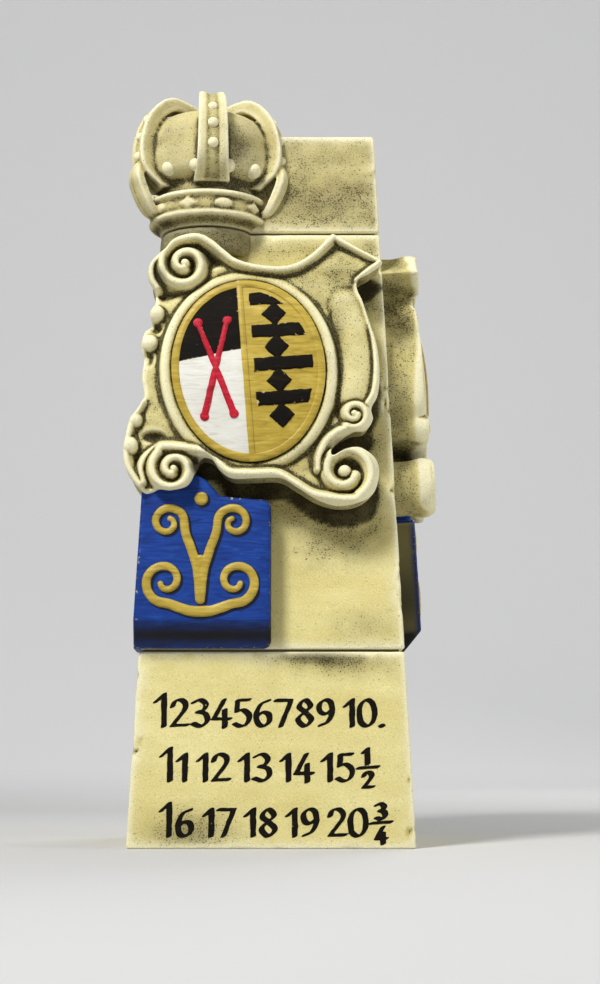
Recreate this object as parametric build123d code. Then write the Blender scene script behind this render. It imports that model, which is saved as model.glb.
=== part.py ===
from build123d import *
from math import atan, cos, degrees, pi, radians, sin
import os

# A length of a square sandstone distance marker that tapers upwards, built of three stones.
# Millimetres. The origin is the middle of the foot, the front faces -Y and +Z is up.
# The carving of one side is drawn flat, as u across, v up and w out of the face, about the
# middle of its shield. It is then laid on the leaning front face and, mirrored, on the right one.

# Shaft
foot_width = 438.0
top_width = 327.0
top_stone_height = 164.0
lower_bed_height = 298.0
upper_bed_height = 966.0
bed_thickness = 4.0
bed_setback = 9.0

# Dowels across the two beds, set in lead
dowel_width = 28.0
dowel_length = 170.0
lead_thickness = 8.0

# Crown on the front left corner of the top stone
crown_inset = 66.0
crown_front_inset = 34.0
crown_turn = 6.0
round_sides = 20
neck_depth = 36.0
neck_radius = 80.0
band_gap = 12.0
band_height = 42.0
band_radius = 92.0
band_bead = 9.0
bead_overhang = 4.0
jewel_count = 10
jewel_width = 30.0
jewel_height = 15.0
jewel_stand = 3.0
groove_radius = 80.0
groove_height = 24.0
cap_radius = 104.0
cap_height = 136.0
arch_count = 5
arch_width = 48.0
arch_foot_width = 62.0
arch_thickness = 22.0
arch_radius = 124.0
arch_rise = 168.0
arch_top_radius = 70.0
arch_pearl_radius = 8.5
rim_pearl_count = 12
rim_pearl_radius = 13.5
rim_pearl_height = 40.0
leaf_width = 44.0
leaf_radius = 133.0
leaf_thickness = 15.0

# Scrolled frame, with the middle of its shield as the place that the rest is drawn from
shield_across = -36.0
shield_drop = 239.0
relief_root = 62.0
plate_depth = 50.0
scroll_root = 36.0
scroll_crest = 62.0
scroll_width = 12.0
scroll_end_width = 7.0
upper_left_eye = (-100.0, 170.0)
lower_left_eye = (-114.0, -157.0)
lower_right_eye = (148.0, -160.0)
small_eye = (163.0, -70.0)
eye_radius = 8.5
boss_radius = 14.0
cheek_width = 34.0
edge_pearl_radius = 13.0

# Oval shield, bowed from top to bottom, with a moulded border and a raised rim
shield_half_width = 118.0
shield_half_height = 144.0
shield_tilt = 4.5
shield_depth = 73.0
shield_bow = 600.0
bow_reach = 17.0
bow_strips = 6
oval_sides = 36
border_width = 18.0
border_drop = 3.0
rim_width = 11.0
rim_height = 4.0
divider_width = 9.0
coat_thickness = 1.2
charge_height = 2.5
field_split = 25.0
field_split_across = -60.0
field_split_tilt = 7.0
bar_height = 21.0
bar_step = 54.0
bars_middle = 30.0
bar_count = 4
bar_margin = 9.0
lozenge_width = 28.0
staves_middle = (-50.0, 4.0)
stave_width = 9.0
stave_length = 156.0
stave_angle = 17.0
knob_radius = 7.5

# Tablet below the frame, turned a little round the corner
tablet_gap = 1.5
tablet_rise = 22.0
tablet_right = 34.0
tablet_depth = 40.0
tablet_overhang = 6.0
tablet_corner = 9.0
tablet_step = 62.0
tablet_step_across = -44.0
bevel_rise = 32.0
lip_depth = 11.0
lip_rise = 6.0
ornament_height = 3.0
ornament_width = 14.0
ornament_drop = 8.0
ornament_shift = -5.0
ornament_size = 1.16

# Values worked out from the sizes above
post_height = upper_bed_height + top_stone_height
shield_height = upper_bed_height - shield_drop
face_slope = (foot_width - top_width) / 2 / post_height
batter = atan(face_slope)
lower_joint = (lower_bed_height - bed_thickness / 2, lower_bed_height + bed_thickness / 2)
upper_joint = (upper_bed_height - bed_thickness / 2, upper_bed_height + bed_thickness / 2)
band_foot = upper_joint[1] + band_gap
band_top = band_foot + band_height
tablet_foot = (lower_joint[1] + tablet_gap) / cos(batter) - shield_height
tablet_head = lower_left_eye[1] + tablet_rise
front_face = Plane(
    origin=(0, -foot_width / 2, 0),
    x_dir=(1, 0, 0),
    z_dir=(0, -cos(batter), sin(batter)),
)
right_face = Plane(
    origin=(foot_width / 2, 0, 0),
    x_dir=(0, 1, 0),
    z_dir=(cos(batter), 0, sin(batter)),
)


def half_width(height):
    """Half the width of the shaft at a height."""
    return foot_width / 2 - face_slope * height


def shaft_slice(low, high):
    """The plain tapering block between two heights."""
    foot = Pos(0, 0, low) * Rectangle(2 * half_width(low), 2 * half_width(low))
    return extrude(foot, high - low, taper=degrees(batter))


def square_bar(low, high, width):
    """A square block about the middle of the post between two heights."""
    return Pos(0, 0, (low + high) / 2) * Box(width, width, high - low)


def turned(outline, sides=round_sides):
    """A round body with flat facets, given as pairs of radius and height from its foot up."""
    rings = []
    for radius, height in outline:
        angles = [2 * pi * i / sides for i in range(sides)]
        rings.append([(radius * cos(a), radius * sin(a), height) for a in angles])
    facets = [Face(Wire.make_polygon(rings[0][::-1])), Face(Wire.make_polygon(rings[-1]))]
    for lower, upper in zip(rings, rings[1:]):
        for i in range(sides):
            j = (i + 1) % sides
            facets.append(Face(Wire.make_polygon([lower[i], lower[j], upper[j], upper[i]])))
    return Part(Solid(Shell(facets)).wrapped)


def pearl(radius, sides=8):
    """A ball roughed out in flat facets."""
    rings = [(0.45, -0.86), (0.97, -0.36), (0.97, 0.36), (0.45, 0.86)]
    return turned([(radius * across, radius * up) for across, up in rings], sides)


def oval(half_across, half_up):
    """An upright oval as a polygon."""
    corners = []
    for i in range(oval_sides):
        angle = 2 * pi * i / oval_sides
        corners.append((half_across * cos(angle), half_up * sin(angle)))
    return make_face(Polyline(*corners, close=True))


def spiral(eye, outer, inner, start, sweep, count):
    """Points on a spiral that winds from its outer radius to its inner one about an eye."""
    points = []
    for i in range(count + 1):
        share = i / count
        angle = radians(start + sweep * share)
        radius = outer * (inner / outer) ** share
        points.append((eye[0] + radius * cos(angle), eye[1] + radius * sin(angle)))
    return points


def moulding(points, start_width, end_width, root, crest):
    """A raised strip along a curve through the points, which changes width along its length."""
    path = Spline(*points)
    stations = round(1.4 * len(points))
    left, right = [], []
    for i in range(stations + 1):
        along = i / stations
        middle = path @ along
        ahead = path % along
        half = (start_width + (end_width - start_width) * along) / 2
        side = Vector(-ahead.Y, ahead.X) * half
        left.append(middle + side)
        right.append(middle - side)
    outline = make_face(Polyline(*left, *reversed(right), close=True))
    return Pos(0, 0, root) * extrude(outline, crest - root)


def bowed(rise):
    """A wide block whose bowed back, in flat strips, stands a rise over the shield's own bow."""
    radius = shield_bow + rise
    middle = shield_depth - shield_bow
    back = []
    for i in range(bow_strips + 1):
        angle = radians(bow_reach * (2 * i / bow_strips - 1))
        back.append((radius * sin(angle), middle + radius * cos(angle)))
    side = [(back[0][0], -relief_root)] + back + [(back[-1][0], -relief_root)]
    return extrude(Plane.YZ * make_face(Polyline(*side, close=True)), foot_width, both=True)


def plate_outline():
    """The frame's outline: two ears, a hollow top edge, a folded wing and two lower scrolls."""
    left_foot = (-160, -189)
    left_waist = (-158, -33)
    left_notch = (-159, 53)
    ear_foot = (-146, 135)
    ear_head = (-132, 193)
    scroll_tail = (-22, 181)
    wing_tip = (133, 223)
    right_tip = (211, 176)
    fold = (167, 139)
    wing_shoulder = (199, 43)
    curl_side = (185, -55)
    curl_foot = (154, -91)
    hollow = (128, -124)
    scroll_side = (199, -157)
    scroll_foot = (136, -213)
    hump = (44, -167)
    tail_foot = (-26, -171)
    tail_head = (-86, -137)
    coil_foot = (-114, -184)
    return make_face(
        [
            ThreePointArc(left_foot, (-193, -115), left_waist),
            Line(left_waist, left_notch),
            Line(left_notch, ear_foot),
            ThreePointArc(ear_foot, (-158, 166), ear_head),
            ThreePointArc(ear_head, (-84, 229), scroll_tail),
            ThreePointArc(scroll_tail, (58, 161), wing_tip),
            Line(wing_tip, right_tip),
            Line(right_tip, fold),
            ThreePointArc(fold, (180, 88), wing_shoulder),
            ThreePointArc(wing_shoulder, (202, -7), curl_side),
            ThreePointArc(curl_side, (184, -83), curl_foot),
            ThreePointArc(curl_foot, (135, -105), hollow),
            ThreePointArc(hollow, (178, -123), scroll_side),
            ThreePointArc(scroll_side, (182, -201), scroll_foot),
            ThreePointArc(scroll_foot, (86, -197), hump),
            Line(hump, tail_foot),
            ThreePointArc(tail_foot, (-54, -139), tail_head),
            ThreePointArc(tail_head, (-91, -171), coil_foot),
            Line(coil_foot, left_foot),
        ]
    )


def scrolls():
    """The raised edges of the frame, its four scrolls and the pearls at their eyes."""
    upper = spiral(upper_left_eye, 9, 46, 620, -540, 10)[:-1]
    upper += [(-82, 219), (-48, 204), (-19, 178), (20, 170), (58, 166), (98, 182), (131, 216)]
    lower = spiral(lower_right_eye, 15, 47, 690, -410, 9)
    lower += [(102, -197), (70, -178), (42, -162), (6, -163), (-26, -161), (-48, -136), (-80, -120)]
    lower += spiral(lower_left_eye, 38, 9, 118, 490, 10)
    small = [(110, -154), (104, -135), (118, -111)]
    small += spiral(small_eye, 22, 7, 236, 420, 7)
    wing = [(166, 141), (174, 103), (187, 58), (192, 8), (188, -32), (179, -57)]
    leaf = [(-114, -115), (-146, -127), (-167, -157), (-163, -182)]
    strips = [
        moulding(upper, scroll_end_width, scroll_width, scroll_root, scroll_crest),
        moulding(lower, scroll_width, scroll_width, scroll_root, scroll_crest),
        moulding(small, scroll_width, scroll_end_width, scroll_root, scroll_crest - 3),
        moulding([(129, 217), (170, 194), (206, 173)], 8, 11, scroll_root, scroll_crest - 6),
        moulding([(207, 172), (188, 161), (169, 143)], 10, 12, scroll_root, scroll_crest - 4),
        moulding(wing, 12, 10, scroll_root, scroll_crest - 7),
        moulding(leaf, 12, 12, scroll_root, scroll_crest - 6),
        moulding([(152, 108), (164, 43), (158, -27)], cheek_width, cheek_width, scroll_root, 58),
    ]
    for eye in (upper_left_eye, lower_left_eye, small_eye):
        strips.append(Pos(eye[0], eye[1], scroll_crest - eye_radius) * pearl(eye_radius))
    boss = Pos(lower_right_eye[0], lower_right_eye[1], scroll_crest - boss_radius)
    strips.append(boss * pearl(boss_radius))
    for v in (89, 45):
        strips.append(Pos(-140, v, plate_depth - edge_pearl_radius + 1) * pearl(edge_pearl_radius))
    return strips


def shield_oval(inset):
    """The oval of the shield, drawn in by an inset."""
    return Rot(0, 0, shield_tilt) * oval(shield_half_width - inset, shield_half_height - inset)


def shield_layer(outline, low, high):
    """What lies over an outline between two bows, given as heights over the shield's own."""
    block = extrude(outline, shield_depth + high + 1)
    return (block & bowed(high)) - bowed(low)


def on_shield(shape):
    """Leans what is drawn upright with the tilt of the shield."""
    return Rot(0, 0, shield_tilt) * shape


def divider_outline():
    """The upright bar that parts the shield, a little left of its middle line."""
    bar = Rectangle(divider_width, 2 * shield_half_height)
    return on_shield(Pos(-divider_width / 2, 0) * bar) & shield_oval(rim_width)


def left_half():
    """The part of the shield's field left of the divider."""
    half = Rectangle(2 * shield_half_width, 3 * shield_half_height)
    return shield_oval(rim_width) & on_shield(Pos(-divider_width - shield_half_width, 0) * half)


def right_half():
    """The part of the shield's field right of the divider."""
    half = Rectangle(2 * shield_half_width, 3 * shield_half_height)
    return shield_oval(rim_width) & on_shield(Pos(shield_half_width, 0) * half)


def bars_outline():
    """Bars across the right half, with lozenges between them and below."""
    reach = shield_half_width
    lozenge = Rot(0, 0, 45) * Rectangle(lozenge_width, lozenge_width)
    shapes = Sketch()
    for i in range(bar_count):
        level = ((bar_count - 1) / 2 - i) * bar_step + bars_middle
        shapes += Pos(reach / 2 + bar_margin, level) * Rectangle(reach, bar_height)
        shapes += Pos(reach / 2 - bar_margin, level - bar_step / 2) * lozenge
    inset = rim_width + bar_margin
    return on_shield(shapes) & shield_oval(inset)


def staves_outline():
    """Two crossed staves with a knob at each end."""
    shapes = Sketch()
    for side in (1, -1):
        turn = Pos(*staves_middle) * Rot(0, 0, side * stave_angle)
        shapes += turn * Rectangle(stave_width, stave_length)
        for end in (1, -1):
            shapes += turn * Pos(0, end * stave_length / 2) * RegularPolygon(knob_radius, 8)
    return on_shield(shapes)


def tablet(grow):
    """The tablet with a bevelled foot and lip, grown on its open sides by a coat."""
    low = tablet_foot - grow
    left_head = -half_width(shield_height + tablet_head) - tablet_overhang - grow - shield_across
    left_foot = -half_width(shield_height + tablet_foot) - tablet_overhang - grow - shield_across
    right = tablet_right + grow
    step = tablet_step_across + grow
    level = tablet_head - tablet_step + grow
    corners = [(left_head, tablet_head), (left_foot, low), (right, low), (right, level - 6), (step, level)]
    corners += [(step - 22, level + 26), (step - 48, level + 40), (step - 56, tablet_head)]
    front = make_face(Polyline(*corners, close=True))
    slab = Pos(0, 0, -relief_root) * extrude(front, relief_root + tablet_depth + grow)
    slab = fillet(slab.edges().filter_by(Axis.Z).group_by(Axis.X)[-1], tablet_corner)
    lip = lip_depth + grow
    face = tablet_depth + grow
    back = -2 * relief_root
    bevel_foot = tablet_foot + lip_rise
    bevel_head = bevel_foot + bevel_rise
    side = [(low - 1, back), (low - 1, lip), (bevel_foot, lip), (bevel_head, face)]
    side += [(tablet_head + 1, face), (tablet_head + 1, back)]
    across = Plane(origin=(0, 0, 0), x_dir=(0, 1, 0), z_dir=(1, 0, 0))
    profile = across * make_face(Polyline(*side, close=True))
    return slab & extrude(profile, foot_width, both=True)


def tablet_ornament():
    """A plain upright scroll ornament in raised strips: two pairs of scrolls and two pearls."""
    u = (tablet_right - half_width(shield_height + tablet_foot) - shield_across) / 2 + ornament_shift
    v = (tablet_foot + tablet_head) / 2 - ornament_drop
    low = [(0, -72), (22, -70)] + spiral((46, -34), 30, 7, 262, 430, 8)
    high = [(0, -52), (5, -10), (20, 30)] + spiral((44, 44), 22, 6, 160, -400, 8)
    face = tablet_depth + coat_thickness
    crest = face + ornament_height
    strips = Part()
    for side in (1, -1):
        for points, width in ((low, ornament_width), (high, 0.85 * ornament_width)):
            placed = [(u + side * across * ornament_size, v + up * ornament_size) for across, up in points]
            strips += moulding(placed, width, 0.5 * width, face, crest)
    for up in (-8, 76):
        disc = extrude(RegularPolygon(0.75 * ornament_width, 8), ornament_height)
        strips += Pos(u, v + up * ornament_size, face) * disc
    return strips


def relief():
    """The whole carving of one side, laid flat, without its painted coats."""
    carving = Pos(0, 0, -relief_root) * extrude(plate_outline(), relief_root + plate_depth)
    for strip in scrolls():
        carving += strip
    carving += extrude(shield_oval(-border_width), shield_depth) & bowed(-border_drop)
    carving -= shield_layer(shield_oval(0), 0, 2 * rim_height)
    carving += extrude(shield_oval(0), shield_depth + 1) & bowed(0)
    return carving + tablet(0)


def radial_band(outer, inner, width):
    """A band outlined in radius and height, with a width across, for the crown's +X side."""
    face = make_face(Polyline(*outer, *reversed(inner), close=True))
    return extrude(Plane.XZ * face, width / 2, both=True)


def crown_body():
    """The crown's turned parts: neck, beaded band, groove and cap."""
    bead = band_radius + bead_overhang
    cap_top = band_top + cap_height
    groove_top = band_top + groove_height
    return turned(
        [
            (neck_radius - 4, upper_bed_height - neck_depth),
            (neck_radius, upper_bed_height - 0.6 * neck_depth),
            (neck_radius, band_foot - 2),
            (band_radius, band_foot),
            (bead, band_foot + band_bead / 2),
            (band_radius, band_foot + band_bead),
            (band_radius, band_top - band_bead),
            (bead, band_top - band_bead / 2),
            (band_radius, band_top),
            (groove_radius, band_top + 3),
            (groove_radius, groove_top),
            (cap_radius - 4, groove_top + 0.2 * cap_height),
            (cap_radius, band_top + 0.54 * cap_height),
            (0.9 * cap_radius, band_top + 0.78 * cap_height),
            (0.6 * cap_radius, band_top + 0.96 * cap_height),
            (0.3 * cap_radius, cap_top),
        ]
    )


def crown_arch():
    """One arch of the crown on its +X side: a bowed strap, narrowing upwards, with pearls."""
    top = band_top + arch_rise
    foot = band_top + 16
    thick = arch_thickness
    outer = [
        (band_radius, foot),
        (0.95 * arch_radius, band_top + 0.26 * arch_rise),
        (arch_radius, band_top + 0.46 * arch_rise),
        (0.94 * arch_radius, band_top + 0.71 * arch_rise),
        (0.78 * arch_radius, band_top + 0.91 * arch_rise),
        (arch_top_radius, top),
        (0.5 * arch_top_radius, top - 4),
        (0, top - 20),
    ]
    inner = [
        (band_radius - thick, foot),
        (0.95 * arch_radius - thick, band_top + 0.3 * arch_rise),
        (arch_radius - thick, band_top + 0.47 * arch_rise),
        (0.94 * arch_radius - thick, band_top + 0.67 * arch_rise),
        (0.78 * arch_radius - 0.8 * thick, band_top + 0.91 * arch_rise - 0.7 * thick),
        (arch_top_radius - 3, top - thick),
        (0.5 * arch_top_radius, top - thick - 5),
        (0, top - thick - 20),
    ]
    waist = band_top + 0.4 * arch_rise
    front = Polyline(
        (-arch_foot_width / 2, band_top),
        (arch_foot_width / 2, band_top),
        (arch_width / 2, waist),
        (0.4 * arch_width, top + 5),
        (-0.4 * arch_width, top + 5),
        (-arch_width / 2, waist),
        close=True,
    )
    arch = radial_band(outer, inner, arch_foot_width)
    arch &= extrude(Plane.YZ * make_face(front), 2 * arch_radius)
    for radius, share in ((0.97, 0.38), (0.975, 0.56), (0.92, 0.74)):
        spot = Pos(radius * arch_radius, 0, band_top + share * arch_rise)
        arch += spot * pearl(arch_pearl_radius, 6)
    return arch


def crown_leaf():
    """One leaf at the foot of an arch, which curls outwards over the band."""
    middle = leaf_radius - 17
    outer = [
        (band_radius - 2, band_foot + 6),
        (middle, band_top - 12),
        (leaf_radius, band_top + 32),
        (leaf_radius - 10, band_top + 58),
    ]
    inner = [
        (band_radius - leaf_thickness, band_foot + 12),
        (middle - leaf_thickness, band_top),
        (leaf_radius - leaf_thickness, band_top + 36),
        (leaf_radius - 10 - leaf_thickness, band_top + 52),
    ]
    return radial_band(outer, inner, leaf_width)


def crown_jewel():
    """One long stone on the band, cut as an eight-sided table."""
    width, height = jewel_width / 2, jewel_height / 2
    corners = [(-width, 0), (-width / 2, -height), (width / 2, -height)]
    corners += [(width, 0), (width / 2, height), (-width / 2, height)]
    outline = Plane.YZ * make_face(Polyline(*corners, close=True))
    return Pos(0, 0, band_foot + band_height / 2) * extrude(outline, band_radius + jewel_stand)


def crown_middle():
    """Where the crown's axis stands, inside the front left corner."""
    half = half_width(band_foot)
    return crown_inset - half, crown_front_inset - half


def crown():
    """The crown, on its own axis inside the front left corner."""
    body = crown_body()
    arch = crown_arch()
    leaf = crown_leaf()
    jewel = crown_jewel()
    ball = Pos(band_radius, 0, band_top + rim_pearl_height) * pearl(rim_pearl_radius, 6)
    for i in range(arch_count):
        turn = Rot(0, 0, -90 + crown_turn + i * 360 / arch_count)
        body += turn * arch
        # The leaf at the front arch is broken off.
        if i:
            body += turn * leaf
    for i in range(rim_pearl_count):
        body += Rot(0, 0, -90 + crown_turn + (i + 0.5) * 360 / rim_pearl_count) * ball
    for i in range(jewel_count):
        body += Rot(0, 0, -90 + (i + 0.5) * 360 / jewel_count) * jewel
    return Pos(*crown_middle(), 0) * body


def span(low, high):
    """All the space between two heights, wider than the post."""
    return square_bar(low, high, 2 * foot_width)


def laid(shape):
    """A shape drawn about the shield's middle, laid on the front face and on the right one."""
    placed = Pos(shield_across, shield_height, 0) * shape
    return front_face * placed, right_face * mirror(placed, about=Plane.YZ)


def save(name, shape):
    """Writes one piece under its own name."""
    export_step(shape, f"parts/{name}.step")


os.makedirs("parts", exist_ok=True)

# Dowels and their lead, and the sockets that they leave in the stones and beds
sockets = Part()
for place, height in (("lower", lower_bed_height), ("upper", upper_bed_height)):
    low = height - dowel_length / 2
    high = height + dowel_length / 2
    dowel = square_bar(low, high, dowel_width)
    socket = square_bar(low - lead_thickness, high + lead_thickness, dowel_width + 2 * lead_thickness)
    sockets += socket
    save(f"{place}_dowel", dowel)
    save(f"{place}_dowel_lead", socket - dowel)

# Stones
whole_crown = crown()
carving = relief()
front_carving, right_carving = laid(carving)
inscription_stone = shaft_slice(0, lower_joint[0]) - sockets
arms_stone = shaft_slice(lower_joint[1], upper_joint[0]) + front_carving + right_carving + whole_crown
arms_stone = (arms_stone & span(lower_joint[1], upper_joint[0])) - sockets
top_stone = shaft_slice(upper_joint[1], post_height)
top_stone += whole_crown & span(upper_joint[1], 2 * post_height)
top_stone -= sockets
save("inscription_stone", inscription_stone)
save("arms_stone", arms_stone)
save("top_stone", top_stone)

# Mortar in the two beds, set back from the faces
for place, joint in (("lower", lower_joint), ("upper", upper_joint)):
    mortar = square_bar(*joint, 2 * half_width(joint[1]) - 2 * bed_setback)
    if place == "upper":
        disc = Cylinder(neck_radius - bed_setback, bed_thickness)
        mortar += Pos(*crown_middle(), sum(joint) / 2) * disc
    save(f"{place}_bed", mortar - sockets)

# Painted coats and gilding, on both sides
top_part = Pos(field_split_across, field_split) * Rot(0, 0, field_split_tilt)
top_part *= Pos(0, shield_half_height) * Rectangle(4 * shield_half_width, 2 * shield_half_height)
black_field = left_half() & on_shield(top_part)
rim_outline = (shield_oval(0) - shield_oval(rim_width)) + divider_outline()
charge_top = coat_thickness + charge_height
coats = {
    "shield_rim": shield_layer(rim_outline, 0, rim_height),
    "shield_black_field": shield_layer(black_field, 0, coat_thickness),
    "shield_white_field": shield_layer(left_half() - on_shield(top_part), 0, coat_thickness),
    "shield_gold_field": shield_layer(right_half(), 0, coat_thickness),
    "shield_bars": shield_layer(bars_outline(), coat_thickness, charge_top),
    "shield_staves": shield_layer(staves_outline(), coat_thickness, charge_top),
    "tablet_blue": tablet(coat_thickness) - carving,
    "tablet_ornament": tablet_ornament(),
}
shaft = shaft_slice(lower_joint[1], upper_joint[0])
between_beds = span(lower_joint[1], upper_joint[0])
for name, coat in coats.items():
    front_coat, right_coat = laid(coat)
    if name == "tablet_blue":
        front_coat = (front_coat - shaft) & between_beds
        right_coat = (right_coat - shaft) & between_beds
    save(f"front_{name}", front_coat)
    save(f"right_{name}", right_coat)
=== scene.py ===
from math import cos, pi, radians, sin

import bpy
import numpy as np
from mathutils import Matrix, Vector


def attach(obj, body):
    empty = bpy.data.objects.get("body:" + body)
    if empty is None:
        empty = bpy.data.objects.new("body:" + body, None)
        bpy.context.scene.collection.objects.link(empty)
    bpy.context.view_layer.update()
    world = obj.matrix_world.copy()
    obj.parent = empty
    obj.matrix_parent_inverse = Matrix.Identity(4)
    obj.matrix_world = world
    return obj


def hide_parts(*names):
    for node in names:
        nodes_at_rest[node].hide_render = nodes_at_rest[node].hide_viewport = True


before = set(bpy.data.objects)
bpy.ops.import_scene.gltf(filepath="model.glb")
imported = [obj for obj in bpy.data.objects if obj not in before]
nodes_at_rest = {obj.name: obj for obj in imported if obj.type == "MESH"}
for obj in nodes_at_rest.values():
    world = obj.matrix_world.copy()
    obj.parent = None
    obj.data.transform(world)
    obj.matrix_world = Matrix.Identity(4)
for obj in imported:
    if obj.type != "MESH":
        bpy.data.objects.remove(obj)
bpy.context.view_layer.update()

scene = bpy.context.scene


# Camera
# A long lens low above the floor, close to three metres in front of the post and tipped upwards,
# so that the crown is seen from below and the shaft's own sides stay out of sight.
camera_place = (0.0435, -2.969, 0.15)
camera_tilt = 8.09
picture_height = 984
focal_pixels = 1801
camera_data = bpy.data.cameras.new("camera")
camera_data.sensor_fit = "VERTICAL"
camera_data.sensor_height = 24
camera_data.lens = camera_data.sensor_height * focal_pixels / picture_height
camera = bpy.data.objects.new("camera", camera_data)
camera.location = camera_place
camera.rotation_euler = (radians(90 + camera_tilt), 0, 0)
scene.collection.objects.link(camera)
scene.camera = camera


# Studio light, floor and backdrop
# A small soft lamp stands high in front on the left, and weaker ones on the right and behind.
# The pale floor runs up behind the post in one wide curve. Back there it looks a little paler to
# the camera, without more light on the post.
scene.view_settings.view_transform = "Standard"


def soft_lamp(name, place, target, width, power):
    """A square soft lamp that looks at a target."""
    lamp_data = bpy.data.lights.new(name, "AREA")
    lamp_data.shape = "SQUARE"
    lamp_data.size = width
    lamp_data.energy = power
    lamp = bpy.data.objects.new(name, lamp_data)
    lamp.location = place
    lamp.rotation_euler = (Vector(target) - Vector(place)).to_track_quat("-Z", "Y").to_euler()
    scene.collection.objects.link(lamp)


soft_lamp("key_lamp", (-1.5, -2.5, 3.6), (0, 0, 0.6), 0.8, 178)
soft_lamp("side_lamp", (3.4, -0.9, 1.6), (0, 0, 0.6), 1.6, 42)
soft_lamp("back_lamp", (1.6, 3.0, 2.8), (0, 0, 0.6), 2.0, 60)
world = bpy.data.worlds.new("even_fill")
world.use_nodes = True
world.node_tree.nodes["Background"].inputs["Color"].default_value = (0.92, 0.95, 1.0, 1)
world.node_tree.nodes["Background"].inputs["Strength"].default_value = 0.3
scene.world = world

floor_reach = 40.0
paler_start = 1.5
paler_end = 4.5
paler_by = 0.32
curve_start = 4.0
curve_radius = 2.0
backdrop_height = 9.0
backdrop_line = [(-floor_reach, 0.0), (curve_start, 0.0)]
for turn in np.linspace(0.1, pi / 2, 16):
    along = curve_start + curve_radius * sin(turn)
    backdrop_line.append((along, curve_radius - curve_radius * cos(turn)))
backdrop_line.append((curve_start + curve_radius, backdrop_height))
backdrop_points = []
for across in (-floor_reach, floor_reach):
    backdrop_points += [(across, along, up) for along, up in backdrop_line]
far_side = len(backdrop_line)
backdrop_faces = [(i, far_side + i, far_side + i + 1, i + 1) for i in range(far_side - 1)]
backdrop_mesh = bpy.data.meshes.new("floor")
backdrop_mesh.from_pydata(backdrop_points, [], backdrop_faces)
backdrop_mesh.shade_smooth()
floor = bpy.data.objects.new("floor", backdrop_mesh)
scene.collection.objects.link(floor)
floor_finish = bpy.data.materials.new("pale_floor")
floor_finish.use_nodes = True


def node_maker(finish):
    """Short calls that add a node, a sum, a mix, a ramp and a noise to a material."""
    tree = finish.node_tree

    def add(kind, values=(), **settings):
        node = tree.nodes.new(kind)
        for key, value in settings.items():
            setattr(node, key, value)
        for key, value in dict(values).items():
            if isinstance(value, bpy.types.NodeSocket):
                tree.links.new(value, node.inputs[key])
            else:
                node.inputs[key].default_value = value
        return node

    def sums(how, a, b, clamp=False):
        return add("ShaderNodeMath", {0: a, 1: b}, operation=how, use_clamp=clamp).outputs[0]

    def mix(share, a, b, how="MIX"):
        node = add("ShaderNodeMix", {0: share}, data_type="RGBA", blend_type=how)
        for index, value in ((6, a), (7, b)):
            if isinstance(value, bpy.types.NodeSocket):
                tree.links.new(value, node.inputs[index])
            else:
                node.inputs[index].default_value = value
        return node.outputs[2]

    def ramp(value, start, end, first=0.0, last=1.0):
        ends = {0: value, 1: start, 2: end, 3: first, 4: last}
        return add("ShaderNodeMapRange", ends).outputs[0]

    def noise(vector, scale, detail, distortion=0.0):
        sizes = {"Vector": vector, "Scale": scale, "Detail": detail, "Distortion": distortion}
        return add("ShaderNodeTexNoise", sizes).outputs[0]

    return add, sums, mix, ramp, noise


add, sums, mix, ramp, noise = node_maker(floor_finish)
floor_shader = floor_finish.node_tree.nodes["Principled BSDF"]
floor_shader.inputs["Base Color"].default_value = (0.56, 0.555, 0.545, 1)
floor_shader.inputs["Roughness"].default_value = 0.9
floor_shader.inputs["Emission Color"].default_value = (1, 1, 1, 1)
floor_place = add("ShaderNodeTexCoord").outputs["Object"]
backwards = add("ShaderNodeSeparateXYZ", {0: floor_place}).outputs["Y"]
paler = ramp(backwards, paler_start, paler_end, 0.0, paler_by)
ray = add("ShaderNodeLightPath").outputs
seen = sums("MAXIMUM", ray["Is Camera Ray"], ray["Is Glossy Ray"])
glow = sums("MULTIPLY", paler, seen)
floor_finish.node_tree.links.new(glow, floor_shader.inputs["Emission Strength"])
backdrop_mesh.materials.append(floor_finish)


# Inscription stone
# The plain sandstone block at the foot, sawn square with a slight taper. Its faces were rubbed
# flat by hand, so they wander by a fraction of a millimetre, and its arrises are chipped.
foot_width = 438.0
top_width = 327.0
post_height = 1130.0
lower_joint = (296.0, 300.0)
upper_joint = (964.0, 968.0)
face_slope = (foot_width - top_width) / 2 / post_height
batter = np.arctan(face_slope)
arris = 4.0
side_cells = 64
arris_cells = 4
course_step = 6.0
top_step = 8.0
chip_depth = 6.0


def linear(red, green, blue):
    """A colour as seen on a screen, from 0 to 255, in the renderer's own scale."""
    parts = [((c / 255 + 0.055) / 1.055) ** 2.4 if c > 10 else c / 3295 for c in (red, green, blue)]
    return (*parts, 1.0)


def half_width(height):
    """Half of the shaft's width at a height, in millimetres."""
    return foot_width / 2 - face_slope * height


def lumps(points, size, seed):
    """Smooth lumps of one size, from -1 to 1, at each point."""
    scaled = points / size
    base = np.floor(scaled).astype(np.int64)
    part = scaled - base
    ease = part * part * (3 - 2 * part)
    total = np.zeros(len(points))
    for corner in range(8):
        step = np.array([corner & 1, corner >> 1 & 1, corner >> 2 & 1])
        cell = base + step
        key = cell[:, 0] * 73856093 ^ cell[:, 1] * 19349663 ^ cell[:, 2] * 83492791
        key = (key + seed * 97531) & 0x7FFFFFFF
        key = ((key ^ (key >> 13)) * 1274126177) & 0x7FFFFFFF
        key = ((key ^ (key >> 16)) * 668265263) & 0x7FFFFFFF
        value = (key % 20011) / 10005.0 - 1
        weight = np.prod(np.where(step == 1, ease, 1 - ease), axis=1)
        total += value * weight
    return total


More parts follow.
